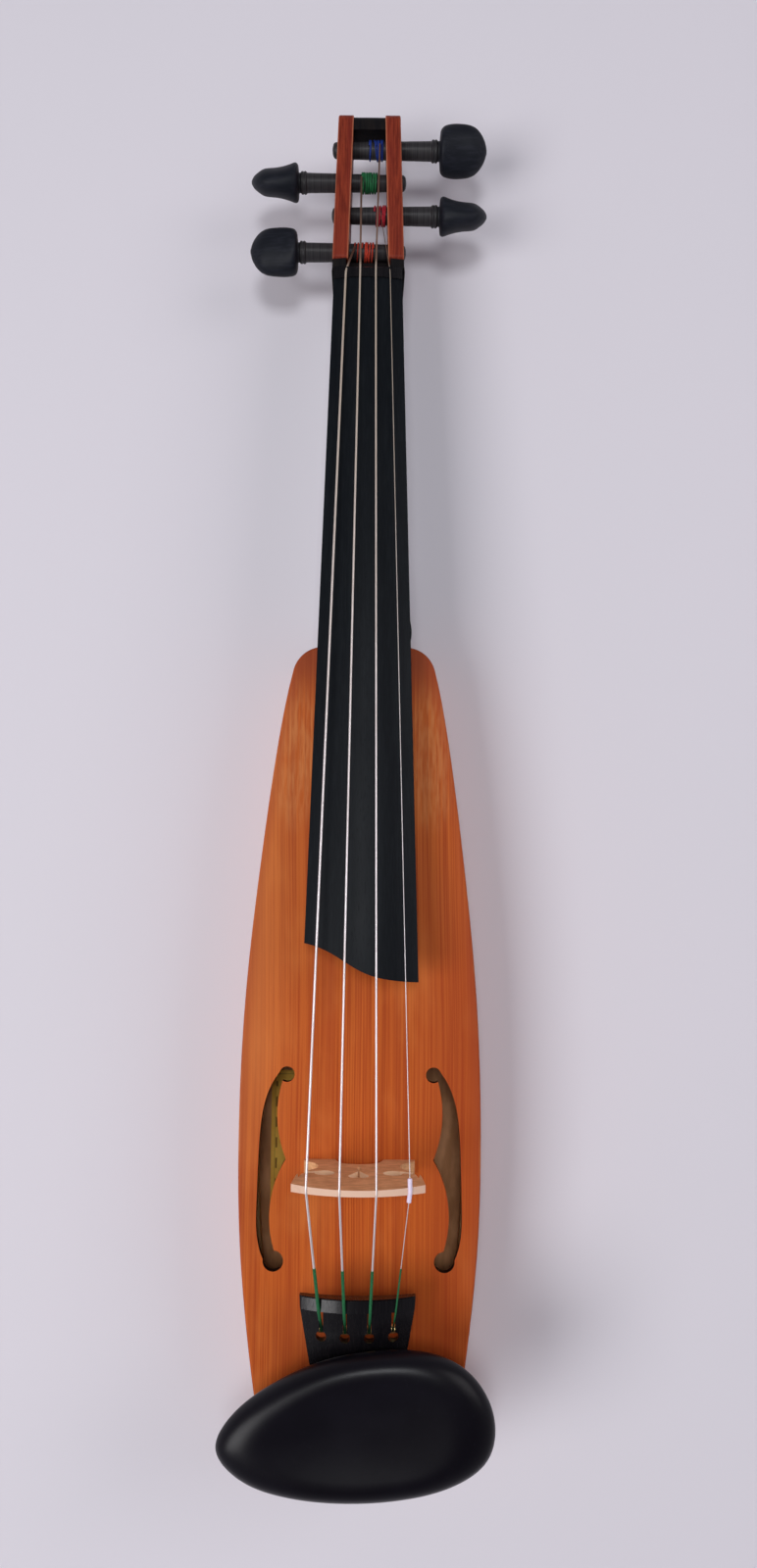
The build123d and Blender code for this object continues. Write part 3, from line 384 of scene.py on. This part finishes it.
def peg_ebony():
    """Pegs: black wood turned on a lathe and waxed; the shaft is grey from the fit, the head soft and dark."""
    paint = Paint("peg_ebony", Specular_IOR_Level=0.2)
    from_middle = abs(paint.x)
    rings = paint.noise(paint.joined(from_middle * 1.6, 0.0, 0.0), detail=3)
    grain = paint.noise(paint.scaled(paint.place, 0.09, 0.9, 0.9), detail=3, roughness=0.6)
    on_shaft = from_middle.below(26.0, 27.5)
    colour = paint.mix(grain.above(0.4, 0.72), tint(15, 18, 25), tint(26, 28, 36))
    worn = paint.mix(rings.above(0.35, 0.65), tint(34, 32, 34), tint(58, 56, 56))
    paint.feed("Base Color", paint.mix(on_shaft * 0.75, colour, worn))
    paint.feed("Roughness", 0.47 + 0.12 * grain - 0.12 * on_shaft)
    paint.bump(rings * on_shaft + grain * 0.4, 0.05, 0.5)
    return paint.material


def orange_cheek_wood():
    """Pegbox cheeks: deep orange-red stain, with a painted pale highlight along the edges of their tops."""
    paint = Paint("orange_cheek_wood", Specular_IOR_Level=0.10)
    fine, broad = grain_lines(paint, 0.6, 3.0, 50.0)
    pore = pores(paint, 3.0, 0.4)
    blotch = paint.noise(paint.scaled(paint.place, 0.12, 0.05, 0.12), detail=3)
    colour = paint.mix(fine.above(0.35, 0.68), tint(128, 52, 34), tint(96, 34, 24))
    colour = paint.mix(broad.above(0.4, 0.65) * 0.5 + blotch.above(0.45, 0.7) * 0.3, colour, tint(100, 34, 28))
    half_outer = 13.5 - (paint.y - 334) * (1.7 / 60)
    half_inner = 7.6 - (paint.y - 334) * (1.6 / 60)
    # painted highlight: a pale line along the inner top edge of each cheek, fainter along the outer one
    rim = abs(abs(paint.x) - half_inner).below(0.15, 0.55) + abs(abs(paint.x) - half_outer).below(0.15, 0.6) * 0.5
    colour = paint.mix(rim * paint.z.above(31.5, 33) * 0.6, colour, tint(202, 126, 92))
    paint.feed("Base Color", paint.mix(pore * 0.35, colour, tint(70, 24, 18)))
    paint.feed("Roughness", 0.36 + 0.14 * fine)
    paint.bump(fine * 0.6 - pore * 0.4, 0.05, 0.5)
    return paint.material


def bridge_maple():
    """Bridge: bare tan hardwood with short darker flecks and soft darker mottling, pale along its top."""
    paint = Paint("bridge_maple", Specular_IOR_Level=0.12)
    fleck = paint.cells(paint.scaled(paint.place, 1.1, 2.4, 2.8), 1.0).below(0.12, 0.3)
    grain = paint.noise(paint.scaled(paint.place, 0.25, 1.2, 1.2), detail=3)
    mottled = paint.noise(paint.scaled(paint.place, 0.12, 0.12, 0.12), detail=3)
    colour = paint.mix(grain.above(0.35, 0.65), tint(218, 164, 118), tint(196, 144, 100))
    colour = paint.mix(mottled.above(0.4, 0.7) * 0.4, colour, tint(170, 118, 80))
    colour = paint.mix(fleck * 0.22, colour, tint(146, 98, 66))
    cut = abs(paint.normal()[1]).below(0.2, 0.6) * abs(paint.x).below(18.5, 19.0)
    colour = paint.mix(cut * paint.z.above(46.0, 47.0), colour, tint(214, 178, 142))
    on_top = paint.normal()[2].above(0.5, 0.85) * paint.z.above(62.0, 63.0)
    colour = paint.mix(on_top * 0.8, colour, tint(212, 178, 158))
    paint.feed("Base Color", colour)
    paint.feed("Roughness", 0.5 + 0.15 * grain)
    paint.bump(grain * 0.6 - fleck * 0.4, 0.05, 0.4)
    return paint.material


def chin_rest_black():
    """Chin rest: black satin polish, a little hazy where the jaw rests."""
    paint = Paint("chin_rest_black", Specular_IOR_Level=0.22)
    haze = paint.noise(paint.scaled(paint.place, 0.04, 0.05, 0.04), detail=3)
    fine = paint.noise(paint.scaled(paint.place, 1.6, 0.5, 1.6), detail=3, roughness=0.6)
    swirl = paint.noise(paint.scaled(paint.place, 0.5, 2.6, 0.5), detail=2)
    worn = (((paint.x + 12) / 26) ** 2 + ((paint.y + 76) / 14) ** 2).below(0.2, 1.4)
    colour = paint.mix(haze.above(0.35, 0.7) * 0.6 + worn * 0.3, tint(7, 5, 11), tint(12, 10, 18))
    paint.feed("Base Color", paint.mix(fine.above(0.6, 0.75) * 0.3, colour, tint(26, 24, 30)))
    paint.feed("Roughness", 0.27 + 0.08 * haze + 0.04 * swirl + worn * 0.03)
    paint.bump(fine * 0.5 + swirl * 0.3, 0.03, 0.4)
    return paint.material


def cork():
    """Sheet cork: tan granules with dark seams and pits."""
    paint = Paint("cork", Specular_IOR_Level=0.15)
    granule = paint.cells(paint.place, 1.1)
    speck = paint.noise(paint.scaled(paint.place, 2.2, 2.2, 2.2), detail=3)
    colour = paint.mix(granule.above(0.2, 0.75), tint(198, 152, 104), tint(140, 96, 60))
    paint.feed("Base Color", paint.mix(speck.above(0.62, 0.72), colour, tint(84, 52, 34)))
    paint.feed("Roughness", 0.8 + 0.15 * speck)
    paint.bump(speck - granule, 0.12, 0.7)
    return paint.material


def metal(name, bright, dull, roughness, streak):
    """Plated or drawn metal with fine polishing marks and a little tarnish."""
    paint = Paint(name, Metallic=1.0)
    marks = paint.noise(paint.scaled(paint.place, *streak), detail=3, roughness=0.65)
    tarnish = paint.noise(paint.scaled(paint.place, 0.25, 0.25, 0.25), detail=3)
    paint.feed("Base Color", paint.mix(tarnish.above(0.45, 0.75) * 0.7, bright, dull))
    paint.feed("Roughness", roughness + 0.14 * marks + 0.1 * tarnish)
    paint.bump(marks, 0.02, 0.3)
    return paint


def nickel():
    return metal("nickel", (0.72, 0.71, 0.68, 1), (0.5, 0.47, 0.42, 1), 0.2, (3.0, 3.0, 0.6)).material


def ball_brass():
    return metal("ball_brass", (0.78, 0.58, 0.26, 1), (0.5, 0.34, 0.16, 1), 0.28, (2.0, 2.0, 2.0)).material


def black_nylon():
    """Tailgut: smooth black nylon cord, scuffed over the saddle."""
    paint = Paint("black_nylon", Specular_IOR_Level=0.5)
    scuff = paint.noise(paint.scaled(paint.place, 1.5, 1.5, 1.5), detail=3)
    paint.feed("Base Color", paint.mix(scuff.above(0.5, 0.75), tint(18, 18, 20), tint(44, 44, 46)))
    paint.feed("Roughness", 0.3 + 0.25 * scuff)
    paint.bump(scuff, 0.03, 0.3)
    return paint.material


def silk(name, light, dark):
    """Wrapped silk: fine turns round the thread, with painted highlight on their crests and painted shade between
    them, and a few frayed fibres.
    """
    paint = Paint(name, Specular_IOR_Level=0.3)
    turns = (paint.y * (2 * pi / 0.32) + paint.x * 6.0).sine() * 0.5 + 0.5
    fray = paint.noise(paint.scaled(paint.place, 2.0, 2.0, 2.0), detail=3, roughness=0.7)
    # the turns pattern paints the crests lighter and the grooves darker: painted highlight and shade
    paint.feed("Base Color", paint.mix(turns * 0.55 + fray.above(0.35, 0.7) * 0.45, dark, light))
    paint.feed("Roughness", 0.6 + 0.2 * fray)
    paint.bump(turns * 0.6 + fray * 0.6, 0.06, 0.6)
    return paint.material


def green_silk():
    return silk("green_silk", tint(36, 116, 68), tint(12, 58, 34))


def orange_red_silk():
    return silk("orange_red_silk", tint(200, 66, 42), tint(112, 28, 22))


def blue_silk():
    return silk("blue_silk", tint(30, 62, 150), tint(12, 24, 78))


def red_silk():
    return silk("red_silk", tint(196, 44, 58), tint(112, 22, 34))


def lilac_plastic():
    """Sleeve on the thinnest string: milky lilac plastic tube."""
    paint = Paint("lilac_plastic", Specular_IOR_Level=0.5)
    cloudy = paint.noise(paint.scaled(paint.place, 0.8, 0.8, 0.8), detail=2)
    paint.feed("Base Color", paint.mix(cloudy, tint(226, 214, 232), tint(206, 190, 214)))
    paint.feed("Roughness", 0.25 + 0.15 * cloudy)
    return paint.material


def string_metal(name, bright, dull, pitch):
    """String: polished flat winding whose turns show as fine rings, duller where fingers and bow touch."""
    paint = Paint(name, Metallic=0.75)
    ring = (paint.y * (2 * pi / pitch)).sine() * 0.5 + 0.5
    tarnish = paint.noise(paint.scaled(paint.place, 0.2, 0.035, 0.2), detail=3)
    # ring also darkens the colour a little between the turns: painted shade in the grooves
    colour = paint.mix(tarnish.above(0.42, 0.75) * 0.55 + ring * 0.15, bright, dull)
    colour = paint.mix(paint.y.above(90, 330) * 0.8, colour, (0.74, 0.60, 0.44, 1))
    paint.feed("Base Color", paint.mix(paint.y.above(329, 333), colour, (0.34, 0.21, 0.15, 1)))
    paint.feed("Roughness", 0.34 + 0.16 * tarnish)
    paint.bump(ring, 0.012, 0.4)
    return paint.material


def wound_string():
    return string_metal("wound_string", (0.93, 0.86, 0.86, 1), (0.66, 0.58, 0.55, 1), 0.30)


def plain_steel_string():
    return string_metal("plain_steel_string", (0.80, 0.76, 0.76, 1), (0.52, 0.47, 0.45, 1), 1.7)


FINISHES = (
    varnished_spruce, stained_maple, bare_spruce, label_paper, black_stained_wood, orange_cheek_wood, ebony_board,
    ebony_fittings, bridge_maple, chin_rest_black, cork, nickel, black_nylon, green_silk, ball_brass, lilac_plastic,
    wound_string, plain_steel_string, orange_red_silk, blue_silk, red_silk, peg_ebony,
)
finish = {make.__name__: make() for make in FINISHES}
slot_of = {part["node"]: part["material_slot"] for part in frame["record"]["subparts"]}
for node, cad_object in frame["nodes"].items():
    for place in cad_object.material_slots:
        place.material = finish[slot_of[node]]


# ---- surfaces --------------------------------------------------------------------------------------
def curve_through(points, count, closed=False):
    """Cubic spline through the points, sampled evenly by the straight distance between them.

    Each stretch is a cubic whose slope and bend match its neighbours; an open curve's ends have no bend.
    """
    knots = np.asarray(points, float)
    if closed:
        knots = np.vstack([knots, knots[:1]])
    gap = np.linalg.norm(np.diff(knots, axis=0), axis=1)
    slope = np.diff(knots, axis=0) / gap[:, None]
    system = np.eye(len(knots))
    pull = np.zeros_like(knots)
    inner = np.arange(1, len(knots) - 1)
    system[inner, inner - 1] = gap[:-1]
    system[inner, inner] = 2 * (gap[:-1] + gap[1:])
    system[inner, inner + 1] = gap[1:]
    pull[1:-1] = 6 * np.diff(slope, axis=0)
    if closed:
        system[0, -1] = -1
        system[-1, [0, 1, -2, -1]] = 2 * gap[0], gap[0], gap[-1], 2 * gap[-1]
        pull[-1] = 6 * (slope[0] - slope[-1])
    bend = np.linalg.solve(system, pull)
    edges = np.concatenate([[0], np.cumsum(gap)])
    at = np.linspace(0, edges[-1], count, endpoint=not closed)
    part = np.clip(np.searchsorted(edges, at, side="right") - 1, 0, len(gap) - 1)
    width = gap[part][:, None]
    ahead = (at - edges[part])[:, None] / width
    back = 1 - ahead
    cubic = (back**3 - back) * bend[part] + (ahead**3 - ahead) * bend[part + 1]
    return back * knots[part] + ahead * knots[part + 1] + cubic * width**2 / 6


def tube(path, radius, up, sides=16):
    """Rings of a round tube: at each path point, the circle of that radius square to the path.

    The circle's two directions are path x up and (path x up) x path.
    """
    along = np.gradient(path, axis=0)
    along /= np.linalg.norm(along, axis=1)[:, None]
    side = np.cross(along, np.broadcast_to(up, path.shape))
    side /= np.linalg.norm(side, axis=1)[:, None]
    over = np.cross(side, along)
    turn = np.linspace(0, 2 * pi, sides, endpoint=False)
    ring = np.cos(turn)[None, :, None] * side[:, None] + np.sin(turn)[None, :, None] * over[:, None]
    size = np.broadcast_to(np.asarray(radius, float), len(path))
    return path[:, None] + size[:, None, None] * ring


def closed_shell(rings):
    """Points and faces of a stack of rings, joined by quads and closed at both ends by a fan."""
    stack, count = rings.shape[:2]
    here = np.arange(stack * count).reshape(stack, count)
    following = np.roll(here, -1, axis=1)
    quads = np.stack([here[:-1], following[:-1], following[1:], here[1:]], axis=-1).reshape(-1, 4)
    points = np.vstack([rings.reshape(-1, 3), rings[0].mean(axis=0), rings[-1].mean(axis=0)])
    near, far = stack * count, stack * count + 1
    start = np.stack([following[0], here[0], np.full(count, near)], axis=-1)
    end = np.stack([here[-1], following[-1], np.full(count, far)], axis=-1)
    ends = np.vstack([start, end])
    corner = points[ends]
    volume = np.einsum("ij,ij->", corner[:, 0], np.cross(corner[:, 1], corner[:, 2]))
    corner = points[quads]
    volume += np.einsum("ij,ij->", corner[:, 0], np.cross(corner[:, 1], corner[:, 2]))
    volume += np.einsum("ij,ij->", corner[:, 0], np.cross(corner[:, 2], corner[:, 3]))
    if volume < 0:
        quads, ends = quads[:, ::-1], ends[:, ::-1]
    return points, quads.tolist() + ends.tolist()


def make_piece(name, shells, body, slot, replaced):
    """One smooth mesh object of closed shells, in the row frame, that stands for the replaced nodes."""
    points, faces, count = [], [], 0
    for rings in shells:
        shell_points, shell_faces = closed_shell(rings)
        points.append(shell_points)
        faces += [[index + count for index in face] for face in shell_faces]
        count += len(shell_points)
    mesh = bpy.data.meshes.new(name)
    mesh.from_pydata((np.vstack(points) * MM).tolist(), [], faces)
    mesh.polygons.foreach_set("use_smooth", np.ones(len(faces), bool))
    mesh.materials.append(finish[slot])
    mesh.update()
    piece = bpy.data.objects.new(name, mesh)
    scene.collection.objects.link(piece)
    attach(piece, body)
    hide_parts(*replaced)
    return piece


# ---- strings ---------------------------------------------------------------------------------------
CROWN_RADIUS = 42.0
STRING_LENGTH = 328.0
NUT_TOP = 38.75
BRIDGE_TOP = 69.3
FRET_Y = -41.0
KEYHOLE_Y = -49.5
TAIL_TOP = 57.0
SILK_WALL = 0.16
SILK_START = -26.5
PEG_Z = 27.5
WINDING_RADIUS = 3.95
STRINGS = {
    "g": dict(nut=-8.25, bridge=-17.0, tail=-12.8, r=0.41, y=340.8, side=-1, turn=0, wind=-1.5,
              width=8.0, end=-5.2),
    "d": dict(nut=-2.9, bridge=-6.0, tail=-4.3, r=0.37, y=368.8, side=-1, turn=58, wind=0.0,
              width=6.4, end=-2.9),
    "a": dict(nut=2.9, bridge=6.0, tail=4.3, r=0.34, y=382.0, side=1, turn=148, wind=2.6,
              width=6.2, end=4.0),
    "e": dict(nut=8.25, bridge=17.0, tail=12.8, r=0.14, y=355.6, side=1, turn=59, wind=4.3,
              width=5.0, end=4.2),
}
UP = np.array([0.0, 0.0, 1.0])


def sag(x):
    """Drop of a crowned surface at x from the centre line."""
    return CROWN_RADIUS - sqrt(CROWN_RADIUS**2 - x**2)


def string_corners(spec):
    """Winding, nut groove, bridge groove, tailpiece fret and keyhole."""
    r = spec["r"]
    return np.array([
        (spec["end"], spec["y"], PEG_Z + WINDING_RADIUS + r + 0.1),
        (spec["nut"], STRING_LENGTH, NUT_TOP - sag(spec["nut"]) + 0.5 * r),
        (spec["bridge"], 0, BRIDGE_TOP - sag(spec["bridge"]) + 0.5 * r),
        (spec["tail"], FRET_Y, TAIL_TOP + 1.0 - sag(spec["tail"]) + r + SILK_WALL),
        (spec["tail"] * 0.93, KEYHOLE_Y, TAIL_TOP - 4.4 - sag(spec["tail"])),
    ])


def rounded_route(corners, reach, count=9):
    """Straight runs whose corners are parabolas that start and end at reach from the corner."""
    route = [corners[:1]]
    share = np.linspace(0, 1, count)[:, None]
    for before, corner, after in zip(corners, corners[1:], corners[2:]):
        start = corner + reach * (before - corner) / np.linalg.norm(before - corner)
        end = corner + reach * (after - corner) / np.linalg.norm(after - corner)
        route.append((1 - share)**2 * start + 2 * share * (1 - share) * corner + share**2 * end)
    return np.vstack([*route, corners[-1:]])


for key, spec in STRINGS.items():
    route = rounded_route(string_corners(spec), 1.4)
    metal_slot = "plain_steel_string" if key == "e" else "wound_string"
    make_piece(f"string_{key}_wire", [tube(route, spec["r"], UP)], "violin", metal_slot, [f"string_{key}"])

silk_tubes = []
for spec in STRINGS.values():
    corners = string_corners(spec)
    share = (SILK_START - corners[2][1]) / (corners[3][1] - corners[2][1])
    start = corners[2] + share * (corners[3] - corners[2])
    route = rounded_route(np.vstack([start, corners[3:]]), 1.4)
    silk_tubes.append(tube(route, spec["r"] + SILK_WALL, UP))
make_piece("tail_silks", silk_tubes, "violin", "green_silk", ["string_silks"])

# ---- pegs and their windings -------------------------------------------------------------------------
PEG_RING = 24.0
PEG_RING_END = 26.2
PEG_HEAD_START = 27.0
PEG_TIP = 14.3
SHAFT_AT_RING = 3.55
SHAFT_TAPER = 1 / 60
RING_RADIUS = 4.1
PEG_HEAD = (                # distance along the head, half-width and half-thickness
    (0.0, 3.7, 3.7), (0.2, 6.0, 5.3), (0.55, 7.5, 6.6), (1.3, 8.4, 7.0), (3.0, 9.1, 6.55), (5.5, 9.45, 5.8),
    (8.5, 9.4, 5.25), (11.5, 9.0, 5.0), (13.5, 8.2, 4.65), (15.2, 6.85, 3.75), (16.6, 5.0, 2.75), (17.6, 2.9, 1.7),
    (18.2, 0.7, 0.6),
)


def peg_radius(distance):
    """Radius of a peg's shaft at a distance from the centre line, positive towards its head."""
    return SHAFT_AT_RING - SHAFT_TAPER * (PEG_RING - distance)


def peg_profile():
    """Distance from the centre line, half-width and half-thickness, from the tip to the head's end."""
    tip = peg_radius(-PEG_TIP)
    ease = np.linspace(0.08, 1, 8)
    cap = np.stack([-PEG_TIP + 1.2 * (1 - np.sqrt(1 - ease**2)), tip * ease, tip * ease], axis=1)
    waist = (PEG_RING + PEG_RING_END) / 2
    turned = [(distance, size, size) for distance, size in (
        (0, peg_radius(0)), (PEG_RING - 0.4, SHAFT_AT_RING), (PEG_RING - 0.1, SHAFT_AT_RING + 0.05),
        (PEG_RING, SHAFT_AT_RING + 0.25), (PEG_RING + 0.15, RING_RADIUS - 0.12), (PEG_RING + 0.35, RING_RADIUS),
        (waist - 0.25, RING_RADIUS), (waist, RING_RADIUS - 0.3), (waist + 0.25, RING_RADIUS),
        (PEG_RING_END - 0.35, RING_RADIUS), (PEG_RING_END - 0.15, RING_RADIUS - 0.12),
        (PEG_RING_END, SHAFT_AT_RING + 0.15), (PEG_RING_END + 0.15, SHAFT_AT_RING),
        (PEG_HEAD_START - 0.2, SHAFT_AT_RING),
    )]
    head = curve_through(PEG_HEAD, 64)
    head[:, 0] += PEG_HEAD_START
    return np.vstack([cap, turned, head])


def peg_rings(spec, around=96):
    """Ovals along the peg: half-width in the thumb head's plane, half-thickness across it, turned about X."""
    profile = peg_profile()
    angle = np.linspace(0, 2 * pi, around, endpoint=False)
    wide = profile[:, 1:2] * np.cos(angle)
    thick = profile[:, 2:3] * np.sin(angle)
    turn = radians(spec["turn"])
    x = np.broadcast_to(spec["side"] * profile[:, :1], wide.shape)
    y = spec["y"] + wide * cos(turn) + thick * sin(turn)
    z = PEG_Z - wide * sin(turn) + thick * cos(turn)
    return np.stack([x, y, z], axis=-1)


def coil(spec, turns, low, high, layer, thread, seed):
    """Thread wound on the shaft: a helix about X whose place along X shifts a little from turn to turn."""
    rng = np.random.default_rng(seed)
    angle = np.linspace(0, 2 * pi * turns, int(turns * 36))
    shift = np.interp(angle, np.linspace(0, angle[-1], int(turns) + 2), rng.uniform(-0.3, 0.3, int(turns) + 2))
    x = low + (high - low) * angle / angle[-1] + shift
    reach = peg_radius(x * spec["side"]) + thread + layer
    out = np.stack([np.zeros_like(angle), np.sin(angle), np.cos(angle)], axis=1)
    path = np.array([0.0, spec["y"], PEG_Z]) + out * reach[:, None]
    path[:, 0] = x
    return tube(path, thread, out, sides=10)


WINDING_SLOTS = {"g": "orange_red_silk", "d": "green_silk", "a": "blue_silk", "e": "red_silk"}
for key, spec in STRINGS.items():
    make_piece(f"peg_{key}_turned", [peg_rings(spec)], f"peg_{key}", "peg_ebony", [f"peg_{key}"])
    low, high = spec["wind"] - spec["width"] / 2 + 0.35, spec["wind"] + spec["width"] / 2 - 0.35
    if key == "g":
        coils = [
            coil(spec, 1.6, low, low + 1.7, 0.0, 0.24, 11), coil(spec, 4.5, low + 2.8, high, 0.0, 0.30, 12),
            coil(spec, 1.5, high - 0.3, low + 3.2, 0.22, 0.24, 13),
        ]
    elif key == "a":
        coils = [
            coil(spec, 1.5, low, low + 0.9, 0.0, 0.30, 14), coil(spec, 4.2, low + 2.6, high, 0.0, 0.28, 15),
            coil(spec, 1.5, high - 0.4, low + 1.2, 0.2, 0.24, 16),
        ]
    elif key == "d":
        coils = [coil(spec, 6.3, low, high, 0.0, 0.36, 17), coil(spec, 2.5, high - 0.6, low + 0.8, 0.24, 0.22, 18)]
    else:
        coils = [coil(spec, 5.5, low, high, 0.0, 0.28, 19), coil(spec, 2, high, high - 1.2, 0.1, 0.28, 20)]
    make_piece(f"winding_{key}_thread", coils, f"peg_{key}", WINDING_SLOTS[key], [f"winding_{key}"])

# ---- chin rest --------------------------------------------------------------------------------------
REST_RIM = 66.0
REST_OUTLINE = (
    (10, -52.2), (25.3, -53.2), (36.0, -58.3), (42.9, -66.8), (45.4, -77.0), (43.2, -85.6), (34.3, -92.9),
    (17, -98.0), (-6, -99.5), (-26.5, -97.0), (-39.8, -91.2), (-45.6, -83.0), (-42.4, -75.2), (-31.0, -65.2),
    (-14.5, -56.9),
)
REST_MIDDLE = (1.0, -76.5)
REST_PROFILE = (            # share of the way from the middle to the outline, and height under the rim
    (0.02, -1.9), (0.25, -1.7), (0.45, -1.1), (0.62, -0.35), (0.74, 0.0), (0.83, -0.4), (0.90, -1.3), (0.95, -2.5),
    (0.982, -3.9), (0.998, -5.4), (0.995, -6.6), (0.96, -8.0), (0.89, -8.8), (0.6, -9.2), (0.3, -10.0), (0.02, -10.3),
)
FOOT_X = 18.7
FOOT_HALF = 5.2
FOOT_ENDS = (-101.0, -90.5)
FOOT_LOW = 37.2


def rest_plate(around=256, across=120):
    """Dished plate: at each share of the way out from the middle to the outline, its height under the rim."""
    outline = curve_through(REST_OUTLINE, around, closed=True)
    profile = curve_through([(20 * share, drop) for share, drop in REST_PROFILE], across)
    share = np.clip(profile[:, 0] / 20, 0.02, 1.0)
    middle = np.array(REST_MIDDLE)
    flat = middle + share[:, None, None] * (outline - middle)[None]
    height = np.broadcast_to((REST_RIM + profile[:, 1])[:, None], flat.shape[:2])
    return np.concatenate([flat, height[..., None]], axis=-1)


def rest_foot(side, around=64, across=24):
    """Rounded-square post, |x|^4 + |y|^4 = 1 in its own half-sizes, that flares where it meets the plate."""
    angle = np.linspace(0, 2 * pi, around, endpoint=False)
    round_x = np.sign(np.cos(angle)) * np.abs(np.cos(angle)) ** 0.5
    round_y = np.sign(np.sin(angle)) * np.abs(np.sin(angle)) ** 0.5
    rise = np.linspace(0, 1, across)[:, None]
    x = side * FOOT_X + (FOOT_HALF + 2.0 * rise**4) * round_x
    middle = sum(FOOT_ENDS) / 2 + 5.0 * rise**2
    y = middle + (FOOT_ENDS[1] - FOOT_ENDS[0]) / 2 * round_y
    z = FOOT_LOW + (REST_RIM - 8.0 - FOOT_LOW) * rise + np.zeros_like(y)
    return np.stack([x, y, z], axis=-1)


make_piece(
    "chin_rest_plate", [rest_plate(), rest_foot(-1), rest_foot(1)], "violin", "chin_rest_black", ["chin_rest"],
)

# ---- floor ------------------------------------------------------------------------------------------
def pale_floor():
    """Plain pale board with the faintest mottling."""
    paint = Paint("pale_floor", Specular_IOR_Level=0.2)
    mottle = paint.noise(paint.scaled(paint.place, 0.006, 0.006, 0.006), detail=3)
    tooth = paint.noise(paint.scaled(paint.place, 0.9, 0.9, 0.9), detail=2)
    paint.feed("Base Color", paint.mix(mottle * 0.8 + tooth * 0.2, (0.80, 0.76, 0.82, 1), (0.77, 0.75, 0.80, 1)))
    paint.feed("Roughness", 0.7 + 0.1 * tooth)
    return paint.material


FLOOR_HALF = 3.0
floor_mesh = bpy.data.meshes.new("floor")
floor_mesh.from_pydata(
    [(-FLOOR_HALF, -FLOOR_HALF, 0), (FLOOR_HALF, -FLOOR_HALF, 0),
     (FLOOR_HALF, FLOOR_HALF, 0), (-FLOOR_HALF, FLOOR_HALF, 0)],
    [], [(0, 1, 2, 3)],
)
floor_mesh.materials.append(pale_floor())
floor = bpy.data.objects.new("floor", floor_mesh)
scene.collection.objects.link(floor)
